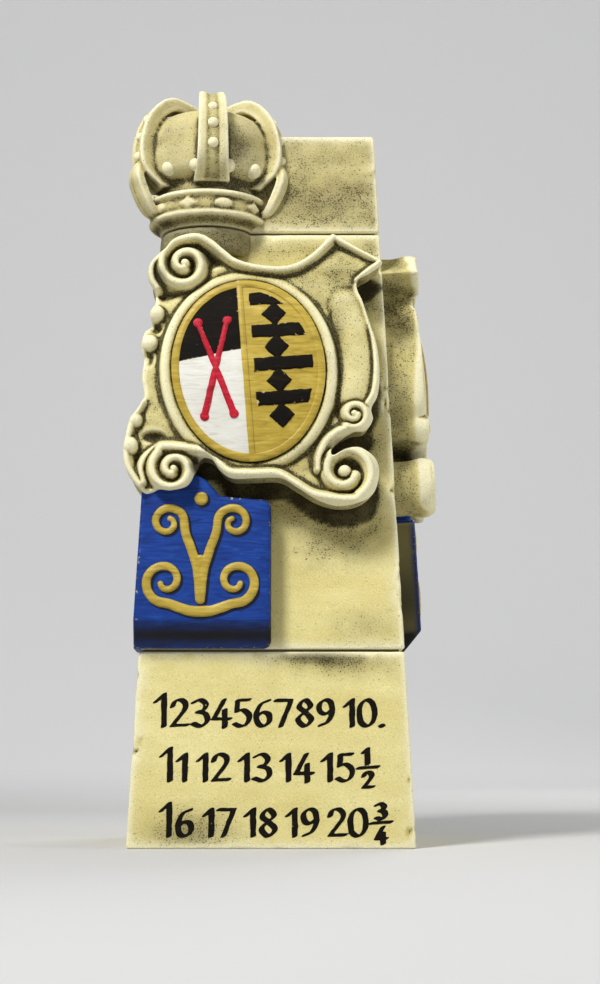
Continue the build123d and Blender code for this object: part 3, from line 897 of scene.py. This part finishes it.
# Patches of painted shade on the frame: where, how far they reach, and how strong.
shades = (
    (-62, 184, 26, 18, 0.55),
    (-138, 150, 20, 26, 0.5),
    (100, 154, 66, 22, 0.3),
    (138, 30, 12, 100, 0.45),
    (172, 128, 24, 40, 0.3),
    (-140, -104, 26, 14, 0.5),
    (-20, -150, 60, 10, 0.3),
    (96, -130, 34, 22, 0.35),
    (146, -118, 22, 16, 0.6),
    (-76, -152, 16, 18, 0.8),
)


def round_rise(distance, radius):
    """How high a round moulding stands over its middle, at a distance from its line."""
    return np.sqrt(np.maximum(radius**2 - distance**2, 0))


def shield_dome(u, v):
    """The bowed face that the shield's fields are painted on."""
    return dome_top - v * v / 1200 - u * u / 2600


def frame_front(u, v):
    """The carved surface of the frame, as a height out of the face."""
    spots = np.stack([u, v, np.zeros_like(u)], 1)
    height = ground_height + 1.2 * lumps(spots, 34.0, 11) + 0.5 * lumps(spots, 12.0, 12)
    height = height + 5 * np.exp(-(((u - 95) / 60) ** 2) - ((v - 150) / 36) ** 2)
    for x, y, across, up, depth in hollows:
        height -= depth * np.exp(-((((u - x) / across) ** 2 + ((v - y) / up) ** 2) ** 2))
    distance, _ = from_line(u, v, trough_line, 40.0)
    height -= 9 * np.exp(-((distance / 11) ** 2))
    distance, _ = from_line(u, v, cheek_line, 60.0)
    height = soft_max(height, cheek_crest - 9 * (distance / 24) ** 2, 4.0)
    for line, first, last, crest_first, crest_last in rolls:
        distance, share = from_line(u, v, line, 24.0)
        radius = first + (last - first) * share
        crest = crest_first + (crest_last - crest_first) * share
        band = crest - 5.5 - 0.5 * radius * (distance / radius) ** 4
        height = soft_max(height, np.where(distance < 1.5 * radius, band, 0), 1.2)
        lip = 0.62 * radius
        round_top = crest - lip + round_rise(distance, lip)
        roll = np.where(distance < lip, round_top, crest - lip - 2.2 * (distance - lip))
        height = soft_max(height, roll, 1.0)
    for x, y, radius, crest in bosses:
        distance = np.hypot(u - x, v - y)
        round_top = crest - radius + round_rise(distance, radius)
        boss = np.where(distance < radius, round_top, crest - radius - 5 * (distance - radius))
        height = soft_max(height, boss, 1.0)
    ring = from_oval(u, v)
    inner = ring - border_radius
    foot = shield_dome(u, v) + 0.5 - border_radius
    border = np.where(
        np.abs(inner) < border_radius,
        foot + round_rise(inner, border_radius),
        foot - 2.2 * (np.abs(inner) - border_radius),
    )
    height = np.where(ring > border_radius, soft_max(height, border, 5.0), height)
    height = np.where((ring <= border_radius) & (ring > 0), border, height)
    height = np.where(ring <= 0, shield_dome(u, v), height)
    edge = in_loop(u, v, frame_outline).clip(0, edge_radius)
    return height - edge_radius + round_rise(edge_radius - edge, edge_radius)


def paint_frame_shadow(block):
    """Adds a painted shadow under the frames: their outline shifted down, black close under them and
    fading further below on the right.
    """
    place = points_of(block.data)
    layer = block.data.attributes["soot_and_shade"].data
    soot_and_shade = np.empty(len(place))
    layer.foreach_get("value", soot_and_shade)
    up = place[:, 2] / cos(batter) - shield_height
    half = half_width(place[:, 2]) - 2.5
    ragged = lumps(place, 22.0, 51)
    for across, outward in ((place[:, 0], -place[:, 1]), (-place[:, 1], place[:, 0])):
        u = across - shield_across
        near_shadow = (in_loop(u - 5, up + 27, frame_outline) + 7 + 4 * ragged) / 14
        far = (in_loop(u - 8, up + 58, frame_outline) + 20 + 10 * ragged) / 30
        shadowed = np.maximum(1.2 * near_shadow.clip(0, 1), 0.55 * far.clip(0, 1) * (u > 30))
        soot_and_shade = np.where(outward > half, np.maximum(soot_and_shade, shadowed), soot_and_shade)
    layer.foreach_set("value", soot_and_shade.clip(0, 1).astype(np.float32))


frame_shape = cut_shape(
    (-200, 216, -222, 232),
    1.5,
    lambda u, v: in_loop(u, v, frame_outline),
    frame_front,
    carving_back,
    walls=((0.06, 1.2), (0.14, 3.0), (0.25, 4.5), (0.4, 4.0), (0.6, 2.5), (0.8, 1.5)),
)
for side in ("front", "right"):
    carving = place_shape(f"{side}_frame", frame_shape, side, pale_stone)
    on_front = np.arange(len(frame_shape[0])) < frame_shape[2]
    # The hollows darken the front fully and the walls a fifth as much, and the shades darken the plate
    # all over and more in its hollows and under its edges: painted shade, partly soot.
    mark_hollows(carving, 26, 1.5, np.where(on_front, 1.0, 0.2))
    spots = [((x, y, 50), (across, up, 300), strength) for x, y, across, up, strength in shades]
    mark_soot_and_shade(carving, spots, 0.27, frame_shape[0])
    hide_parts("arms_stone")
    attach(carving, "root")
paint_frame_shadow(arms_shaft)


# Shields
# The fields are oil paint on the bowed stone. The raised rim and the upright bar are gilded, and
# the bars and the crossed staves stand a little proud, built up in thick paint.
gold_coat = paint_coat(
    "gold_paint",
    linear(184, 158, 60), linear(214, 192, 104), linear(132, 108, 34), linear(206, 190, 128), 0.42, 0.3,
)
white_coat = paint_coat(
    "white_paint",
    linear(226, 224, 214), linear(238, 237, 231), linear(198, 194, 178), linear(214, 200, 148), 0.6, 0.4,
)
red_coat = paint_coat(
    "red_paint",
    linear(186, 18, 42), linear(222, 60, 78), linear(112, 10, 22), linear(206, 190, 150), 0.55, 0.5,
)
rim_width = 11.0
divider_width = 9.0
field_rise = 1.2
split_height = 25.0
bar_levels = (111.0, 57.0, 3.0, -51.0)
bar_half = 10.5
lozenge_half = 20.0
stave_middle = (-50.0, 4.0)
stave_lean = radians(17.0)
stave_half = 78.0
stave_knob = 7.2


def tilted(u, v):
    """Across and up in the shield's own tilt."""
    c, s = cos(shield_tilt), sin(shield_tilt)
    return u * c + v * s, v * c - u * s


def hand_wander(u, v, size, by):
    """How far a hand-drawn edge strays."""
    spots = np.stack([u.ravel(), v.ravel(), np.zeros(u.size)], 1)
    return by * lumps(spots, size, 31).reshape(u.shape)


def field_inside(u, v):
    return -rim_width + 1.0 - from_oval(u, v) + hand_wander(u, v, 20.0, 0.4)


def left_inside(u, v):
    return np.minimum(field_inside(u, v), 0.8 - divider_width - tilted(u, v)[0])


def above_split(u, v):
    x, y = tilted(u, v)
    return y - split_height - 0.12 * (x + 60) + hand_wander(u, v, 14.0, 0.8)


def rim_inside(u, v):
    oval = from_oval(u, v)
    x, _ = tilted(u, v)
    ring = np.minimum(0.6 - oval, oval + rim_width)
    bar = np.minimum(np.minimum(-x, x + divider_width), 0.6 - oval)
    return np.maximum(ring, bar) + hand_wander(u, v, 16.0, 0.3)


def rim_front(u, v):
    oval = from_oval(u, v)
    x, _ = tilted(u, v)
    ring = 1 - ((oval + rim_width / 2) / (rim_width / 2 + 0.7)) ** 2
    bar = 1 - ((x + divider_width / 2) / (divider_width / 2 + 0.7)) ** 2
    return shield_dome(u, v) + 1.0 + 2.8 * np.maximum(ring, bar).clip(0, 1) ** 0.5


def lozenge(x, y, across, up, half):
    return (half - np.abs(x - across) - np.abs(y - up)) / 1.41


def bars_inside(u, v):
    x, y = tilted(u, v)
    best = np.full(u.shape, -50.0)
    for level in bar_levels:
        best = np.maximum(best, np.minimum(bar_half - np.abs(y - level), x - 9.0))
        best = np.maximum(best, lozenge(x, y, 46.0, level - 27, lozenge_half))
    limit = -rim_width - 7.0 - from_oval(u, v)
    return np.minimum(best, limit) + hand_wander(u, v, 8.0, 0.9)


def staves_inside(u, v):
    x, y = tilted(u, v)
    x, y = x - stave_middle[0], y - stave_middle[1]
    best = np.full(u.shape, -50.0)
    for side in (1, -1):
        c, s = cos(stave_lean), side * sin(stave_lean)
        across, along = x * c + y * s, y * c - x * s
        thick = 4.6 - 0.9 * (along / stave_half)
        best = np.maximum(best, np.minimum(thick - np.abs(across), stave_half - np.abs(along)))
        for end in (stave_half, -stave_half):
            best = np.maximum(best, stave_knob - np.hypot(across, along - end))
    return best + hand_wander(u, v, 9.0, 0.5)


def raised(base, rise, inside=None):
    """A height over the shield's bow, with a soft brow at a shape's edge."""

    def height(u, v):
        top = shield_dome(u, v) + base
        if inside is None:
            return top + rise
        return top + rise * (0.35 + 0.65 * (inside(u, v) / 3).clip(0, 1) ** 0.5)

    return height


shield_reach = (-126, 126, -152, 152)
shield_parts = (
    ("shield_rim", 1.6, rim_inside, rim_front, gold_coat, "gold_paint"),
    (
        "shield_black_field", 2.2,
        lambda u, v: np.minimum(left_inside(u, v), above_split(u, v) + 0.4),
        raised(field_rise, 0.0), black_coat, "black_paint",
    ),
    (
        "shield_white_field", 2.2,
        lambda u, v: np.minimum(left_inside(u, v), 0.4 - above_split(u, v)),
        raised(field_rise - 0.15, 0.0), white_coat, "white_paint",
    ),
    (
        "shield_gold_field", 2.2,
        lambda u, v: np.minimum(field_inside(u, v), tilted(u, v)[0] + 0.8),
        raised(field_rise, 0.0), gold_coat, "gold_paint",
    ),
    ("shield_bars", 1.4, bars_inside, raised(field_rise, 2.0, bars_inside), black_coat, "black_paint"),
    ("shield_staves", 1.2, staves_inside, raised(field_rise, 2.2, staves_inside), red_coat, "red_paint"),
)
for name, step, inside, front, finish, slot_name in shield_parts:
    shape = cut_shape(shield_reach, step, inside, front, raised(-0.8, 0.0))
    for side in ("front", "right"):
        coat = place_shape(f"{side}_{name}_coat", shape, side, finish, 40)
        mark_hollows(coat, 4, 0.8)
        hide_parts(f"{side}_{name}")
        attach(coat, "root")


# Tablets
# Each tablet is a smooth panel left standing in the block, wrapped a little round its corner,
# with a sloping foot. It is painted blue, worn bare on its right wall, and its scroll ornament
# is gilded. Its foot and right wall are darkened nearly to black by painted shade.
blue_coat = paint_coat(
    "blue_paint",
    linear(12, 56, 138), linear(32, 84, 168), linear(4, 24, 78), linear(168, 158, 108), 0.5, 0.5,
)
# A dark blue sheet just below and right of the ornament, under its edge: a painted shadow of the raised
# gilding.
shadow_coat = paint_coat(
    "shadow_paint",
    linear(10, 20, 44), linear(18, 34, 70), linear(6, 10, 22), linear(20, 50, 100), 0.6, 0.3,
)
tablet_foot = -425.0
tablet_depth = 41.0
foot_depth = 12.2
foot_height = 6.0
foot_slope = 29 / 32
tablet_edge = 5.0
tablet_outline = np.array(
    [
        (-161, -134), (-175.2, tablet_foot - 1), (25, tablet_foot - 1), (32, tablet_foot + 2),
        (35.2, tablet_foot + 9), (35.2, -213), (32.5, -205), (25, -201), (-43, -195.8), (-65, -170),
        (-91, -156), (-98.8, -134),
    ]
)


def tablet_inside(u, v):
    """Distance inside the tablet's outline, which steps down towards the right at its head."""
    return in_loop(u, v, tablet_outline)


def tablet_front(u, v):
    """The tablet's face, its sloping foot and its softened edges."""
    spots = np.stack([u, v, np.zeros_like(u)], 1)
    face = tablet_depth + 0.5 * lumps(spots, 60.0, 41) + 0.15 * lumps(spots, 14.0, 42)
    slope = foot_depth + (v - tablet_foot - foot_height) * foot_slope
    face = -soft_max(-face, -slope, 2.0)
    face = np.where(v < tablet_foot + foot_height, np.minimum(face, foot_depth), face)
    edge = tablet_inside(u, v).clip(0, tablet_edge)
    return face - 0.7 * (tablet_edge - round_rise(tablet_edge - edge, tablet_edge))


tablet_reach = (-184, 42, -432, -128)
tablet_walls = ((0.1, 0.0), (0.4, 0.0))
tablet_shape = cut_shape(
    tablet_reach, 2.0, tablet_inside, tablet_front, carving_back, walls=tablet_walls
)
ornament_middle = (-72.0, -288.0)
ornament_size = 1.16
ornament_pearl = 10.5
ornament_lines = []
for side in (1, -1):
    low = [(0, -74), (14, -73), (30, -68)] + coil((46, -34), 30, 7, 262, 430, 14)
    high = [(0, -58), (4, -20), (12, 8), (20, 30)] + coil((44, 44), 22, 6, 160, -400, 12)
    for points, first, last in ((low, 8.2, 4.4), (high, 7.4, 4.0)):
        line = smooth_line(points) * ornament_size
        line[:, 0] *= side
        ornament_lines.append((line + ornament_middle, first, last))


def ornament_inside(u, v, grow=0.0, drop=0.0):
    """Distance inside the ornament's strokes, which narrow towards their scrolls."""
    x, y = u - drop, v + drop
    best = np.full(u.shape, -50.0)
    for line, first, last in ornament_lines:
        distance, share = from_line(x, y, line, 16.0)
        best = np.maximum(best, first + (last - first) * share - distance)
    for up in (-8, 76):
        middle = np.hypot(x - ornament_middle[0], y - ornament_middle[1] - ornament_size * up)
        best = np.maximum(best, ornament_pearl - middle)
    return best + grow + hand_wander(u, v, 11.0, 0.35)


def ornament_front(u, v):
    rise = (ornament_inside(u, v) / 7).clip(0, 1)
    return tablet_front(u, v) + 0.5 + 3.0 * np.sqrt(1 - (1 - rise) ** 2)


ornament_reach = (-162, 18, -420, -190)
ornament_shape = cut_shape(
    ornament_reach, 1.5, ornament_inside, ornament_front, lambda u, v: tablet_front(u, v) - 1
)
shadow_shape = cut_shape(
    ornament_reach, 1.8,
    lambda u, v: ornament_inside(u, v, 0.6, 3.2),
    lambda u, v: tablet_front(u, v) + 0.3,
    lambda u, v: tablet_front(u, v) - 1,
)
for side in ("front", "right"):
    tablet = place_shape(f"{side}_tablet_panel", tablet_shape, side, blue_coat, 50)
    mark_hollows(tablet, 6, 1.5)
    # Painted shade along the sloping foot and down the right wall.
    spots = [((-70, -408, 30), (400, 15, 300), 1.0), ((36, -300, 41), (3, 300, 300), 0.6)]
    spots.append(((36, -340, 12), (6, 70, 24), 0.5))
    mark_soot_and_shade(tablet, spots, 0.0, tablet_shape[0])
    across, _, out = tablet_shape[0].T
    edge = (tablet_depth - 4 - out + 2.5 * lumps(tablet_shape[0], 16.0, 61)) / 2
    store(tablet.data, "peeled", edge.clip(0, 1) * (across > 33))
    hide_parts(f"{side}_tablet_blue")
    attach(tablet, "root")
    ornament = place_shape(f"{side}_ornament", ornament_shape, side, gold_coat, 70)
    mark_hollows(ornament, 4, 1.0)
    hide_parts(f"{side}_tablet_ornament")
    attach(ornament, "root")
    shadow = place_shape(f"{side}_ornament_shadow", shadow_shape, side, shadow_coat)
    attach(shadow, "root")


# Top stone
# The uppermost block of the shaft, more weathered than the others: rain has pitted its flat bed
# and carried soot down its faces, and painted shade darkens it beside the crown. The crown on its
# front left corner is cut from the same stone.
weathered = linear(226, 214, 152)
grey_stone = sandstone("weathered_sandstone", weathered, linear(196, 182, 122), linear(50, 44, 26))
top_block = shaft_block("top_stone_block", upper_joint[1], post_height, grey_stone, worn_top=True)
mark_hollows(top_block, 12, 1.2)
# An even darkening, and patches beside the crown, low on the front's right and high on the right face:
# soot, and painted shade and the crown's painted shadow.
mark_soot_and_shade(
    top_block,
    [
        ((-40, -170, 1050), (90, 40, 90), 0.55),
        ((120, -166, 1010), (80, 40, 50), 0.35),
        ((165, 0, 1090), (30, 170, 40), 0.4),
    ],
    0.3,
)
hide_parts("top_stone")
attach(top_block, "root")


# Crown
# A crown carved in the round on the corner, its neck run into the stone below: a turned band with
# beaded edges, a cap, five bowed straps that meet above it, and a leaf at the foot of each strap
# but the front one, where it is broken off.
band_foot = 980.0
band_top = 1022.0
crown_side_inset = 66.0
crown_front_inset = 34.0
crown_turn = 6.0
round_count = 96
strap_count = 5
jewel_count = 10
jewel_radius = 92.5
crown_grain = 0.0023
neck_grain = 0.004
crown_x = crown_side_inset - half_width(band_foot)
crown_y = crown_front_inset - half_width(band_foot)


def turned_shape(profile, fine=6):
    """A closed turned shape from pairs of radius and height, from the foot up."""
    radii, heights = smooth_line(profile, fine=fine).T
    angles = np.linspace(0, 2 * pi, round_count, endpoint=False)
    points = [
        np.stack([r * np.cos(angles), r * np.sin(angles), np.full(round_count, z)], 1)
        for r, z in zip(radii, heights)
    ]
    return np.concatenate(points), ring_faces(round_count, len(points))


def strap_shape(outer, inner, widths, section):
    """A closed bowed strap on the +X side, from its outer and inner lines of radius and height."""
    outer, inner = smooth_line(outer), smooth_line(inner)
    widths = np.interp(np.linspace(0, 1, len(outer)), np.linspace(0, 1, len(widths)), widths)
    points = []
    for a, b, width in zip(outer, inner, widths):
        normal = (a - b) / np.linalg.norm(a - b)
        for across, rise in section:
            r, z = a + normal * rise
            points.append((r, across * width, z))
        for across in (0.94, -0.94):
            points.append((b[0], across * width, b[1]))
    size = len(section) + 2
    faces = [list(range(size))]
    for level in range(len(outer) - 1):
        for i in range(size):
            j = (i + 1) % size
            a, b = level * size, (level + 1) * size
            faces.append([a + i, b + i, b + j, a + j])
    last = (len(outer) - 1) * size
    faces.append(list(range(last, last + size))[::-1])
    return np.array(points), faces


def turned_about(points, degrees_round):
    """Points turned about the crown's own axis."""
    c, s = cos(radians(degrees_round)), sin(radians(degrees_round))
    x, y = points[:, 0].copy(), points[:, 1].copy()
    return np.stack([c * x - s * y, s * x + c * y, points[:, 2]], 1)


def jewel_shape(half_across, half_up, corners, depth):
    """One long stone on the band, an oval dome or a pointed lozenge, on the +X side."""
    rings = ((1.0, 0.0), (0.94, 0.6), (0.72, 0.86), (0.4, 1.0))
    points = []
    for size, rise in rings:
        for k in range(corners):
            a = 2 * pi * k / corners
            across, up = half_across * size * cos(a), half_up * size * sin(a)
            r = np.sqrt(jewel_radius**2 - across**2)
            points.append((r + depth * rise, across, (band_foot + band_top) / 2 + up))
    return np.array(points), ring_faces(corners, len(rings))


def plain_mesh(name, shapes):
    """One mesh from several closed shapes, in metres, at the crown's place."""
    points, faces, count = [], [], 0
    for part, sides in shapes:
        points.append(part + (crown_x, crown_y, 0))
        faces += [[i + count for i in face] for face in sides]
        count += len(part)
    mesh = bpy.data.meshes.new(name)
    mesh.from_pydata((np.concatenate(points) / 1000).tolist(), [], faces)
    mesh.validate()
    return mesh


def baked(piece):
    """Makes what a piece's modifiers give into its own mesh."""
    graph = bpy.context.evaluated_depsgraph_get()
    solid = bpy.data.meshes.new_from_object(piece.evaluated_get(graph))
    piece.modifiers.clear()
    piece.data = solid
    return solid


def fused(name, mesh, grain_size, softening, finish):
    """The shapes of a mesh grown together into one skin of even grain, and softened."""
    piece = bpy.data.objects.new(name, mesh)
    scene.collection.objects.link(piece)
    remesh = piece.modifiers.new("grow_together", "REMESH")
    remesh.mode = "VOXEL"
    remesh.voxel_size = grain_size
    soften = piece.modifiers.new("soften", "SMOOTH")
    soften.iterations = softening
    soften.factor = 0.5
    solid = baked(piece)
    solid.materials.clear()
    solid.materials.append(finish)
    solid.shade_smooth()
    return piece


crown_shapes = [
    turned_shape(
        [
            (77, 968), (79, 972), (83, 976), (88, 979), (93, 981), (96, 984), (96, 987), (93, 990),
            (91, 992), (91, 1000), (91, 1010), (93, 1013), (96, 1016), (96, 1019), (93, 1022),
            (84, 1025), (80, 1032), (80, 1042), (90, 1050), (100, 1062), (104, 1082), (103, 1100),
            (99, 1124), (86, 1146), (66, 1160), (34, 1162), (8, 1161),
        ]
    )
]
strap_outer = [
    (90, 1036), (118, 1064), (125, 1098), (117, 1140), (98, 1172), (70, 1189), (36, 1184), (2, 1170),
]
strap_inner = [
    (70, 1038), (96, 1068), (103, 1099), (96, 1135), (80, 1158), (60, 1169), (34, 1164), (2, 1152),
]
strap_widths = (29, 25, 24, 23, 22, 20, 14, 6)
strap_section = (
    (-1, -1.2), (-0.9, 0), (-0.5, 0), (-0.4, -3.2), (0.4, -3.2), (0.5, 0), (0.9, 0), (1, -1.2),
)
leaf_outer = [(88, 986), (106, 994), (119, 1012), (131, 1040), (133, 1060), (125, 1078), (114, 1080)]
leaf_inner = [(76, 992), (94, 1002), (105, 1020), (115, 1044), (117, 1058), (113, 1068), (108, 1070)]
leaf_widths = (14, 20, 24, 24, 21, 15, 9)
leaf_section = ((-1, -5), (-0.6, -1), (-0.12, 0), (0, -3), (0.12, 0), (0.6, -1), (1, -5))
for i in range(strap_count):
    turn = -90 + crown_turn + i * 360 / strap_count
    strap, strap_faces = strap_shape(strap_outer, strap_inner, strap_widths, strap_section)
    crown_shapes.append((turned_about(strap, turn), strap_faces))
    if i:
        leaf, leaf_faces = strap_shape(leaf_outer, leaf_inner, leaf_widths, leaf_section)
        crown_shapes.append((turned_about(leaf, turn), leaf_faces))
for i in range(jewel_count):
    turn = -90 + (i + 0.5) * 360 / jewel_count
    corners, across, up, depth = ((20, 14, 7, 4.0), (4, 15, 9, 3.0))[i % 2]
    jewel, jewel_faces = jewel_shape(across, up, corners, depth)
    crown_shapes.append((turned_about(jewel, turn), jewel_faces))
crown = fused("crown", plain_mesh("crown", crown_shapes), crown_grain, 3, grey_stone)
mark_hollows(crown, 26, 2.0)
# Painted shade under the band, under the ring of pearls, on the cap's right and under the left strap,
# over a slight darkening of the whole crown.
crown_shades = [
    ((crown_x, crown_y, 975), (120, 120, 14), 0.9),
    ((crown_x, crown_y, 1042), (96, 96, 10), 0.7),
    ((crown_x + 50, crown_y - 80, 1090), (34, 40, 44), 0.6),
    ((crown_x - 60, crown_y - 70, 1110), (30, 40, 30), 0.35),
]
mark_soot_and_shade(crown, crown_shades, 0.18)
neck_shapes = [turned_shape([(70, 926), (76, 934), (78, 946), (77, 956), (77, 964)], 4)]
neck = fused("crown_neck", plain_mesh("crown_neck", neck_shapes), neck_grain, 1, pale_stone)
mark_hollows(neck, 10, 2.0)
# The whole neck is darkened nearly to black: painted shade under the crown's band.
mark_soot_and_shade(neck, [], 0.85)
for piece, node in ((crown, "top_stone"), (neck, "arms_stone")):
    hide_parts(node)
    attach(piece, "root")


# Crown pearls
# Round pearls cut from the stone: a ring of twelve above the band, a little flattened, and three
# down the channel of each strap.
def pearl_tree():
    """Puts one flattened pearl on every point of a mesh."""
    tree = bpy.data.node_groups.new("crown_pearls", "GeometryNodeTree")
    for name, kind, way in (
        ("Geometry", "NodeSocketGeometry", "INPUT"),
        ("Pearl radius", "NodeSocketFloat", "INPUT"),
        ("Flatness", "NodeSocketFloat", "INPUT"),
        ("Finish", "NodeSocketMaterial", "INPUT"),
        ("Geometry", "NodeSocketGeometry", "OUTPUT"),
    ):
        tree.interface.new_socket(name=name, in_out=way, socket_type=kind)
    start = tree.nodes.new("NodeGroupInput")
    end = tree.nodes.new("NodeGroupOutput")
    ball = tree.nodes.new("GeometryNodeMeshIcoSphere")
    ball.inputs["Subdivisions"].default_value = 4
    squash = tree.nodes.new("ShaderNodeCombineXYZ")
    spread = tree.nodes.new("GeometryNodeInstanceOnPoints")
    wobble = tree.nodes.new("FunctionNodeRandomValue")
    wobble.inputs["Seed"].default_value = 5
    wobble.inputs[2].default_value = 0.92
    wobble.inputs[3].default_value = 1.06
    size = tree.nodes.new("ShaderNodeVectorMath")
    size.operation = "SCALE"
    real = tree.nodes.new("GeometryNodeRealizeInstances")
    shade = tree.nodes.new("GeometryNodeSetShadeSmooth")
    paint = tree.nodes.new("GeometryNodeSetMaterial")
    link = tree.links.new
    link(start.outputs["Pearl radius"], ball.inputs["Radius"])
    squash.inputs["X"].default_value = 1.0
    squash.inputs["Y"].default_value = 1.0
    link(start.outputs["Flatness"], squash.inputs["Z"])
    link(squash.outputs[0], size.inputs[0])
    link(wobble.outputs[1], size.inputs["Scale"])
    link(start.outputs["Geometry"], spread.inputs["Points"])
    link(ball.outputs["Mesh"], spread.inputs["Instance"])
    link(size.outputs[0], spread.inputs["Scale"])
    link(spread.outputs[0], real.inputs[0])
    link(real.outputs[0], shade.inputs["Geometry"])
    link(shade.outputs[0], paint.inputs["Geometry"])
    link(start.outputs["Finish"], paint.inputs["Material"])
    link(paint.outputs[0], end.inputs[0])
    return tree


rim_pearls = 12
rim_pearl_reach = 92
rim_pearl_height = 1062
rim_spots = []
for i in range(rim_pearls):
    turn = radians(-90 + crown_turn + (i + 0.5) * 360 / rim_pearls)
    rim_spots.append((rim_pearl_reach * cos(turn), rim_pearl_reach * sin(turn), rim_pearl_height))
strap_spots = []
for i in range(strap_count):
    turn = radians(-90 + crown_turn + i * 360 / strap_count)
    for radius, height in ((120, 1088), (117, 1121), (105, 1151)):
        strap_spots.append((radius * cos(turn), radius * sin(turn), height))
pearls = pearl_tree()
inputs = {s.name: s.identifier for s in pearls.interface.items_tree if s.in_out == "INPUT"}
for name, spots, radius, flatness in (
    ("crown_rim_pearls", rim_spots, 13.5, 0.92),
    ("crown_strap_pearls", strap_spots, 8.5, 1.0),
):
    seed_mesh = bpy.data.meshes.new(name)
    places = np.array(spots) + (crown_x, crown_y, 0)
    seed_mesh.from_pydata((places / 1000).tolist(), [], [])
    piece = bpy.data.objects.new(name, seed_mesh)
    scene.collection.objects.link(piece)
    grow = piece.modifiers.new("pearls", "NODES")
    grow.node_group = pearls
    grow[inputs["Pearl radius"]] = radius / 1000
    grow[inputs["Flatness"]] = flatness
    grow[inputs["Finish"]] = grey_stone
    solid = baked(piece)
    # Every pearl point counts as proud, so the pearls take the near-white edge colour almost all over: a
    # painted highlight.
    store(solid, "ridge", np.full(len(solid.vertices), 0.9))
    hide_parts("top_stone")
    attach(piece, "root")
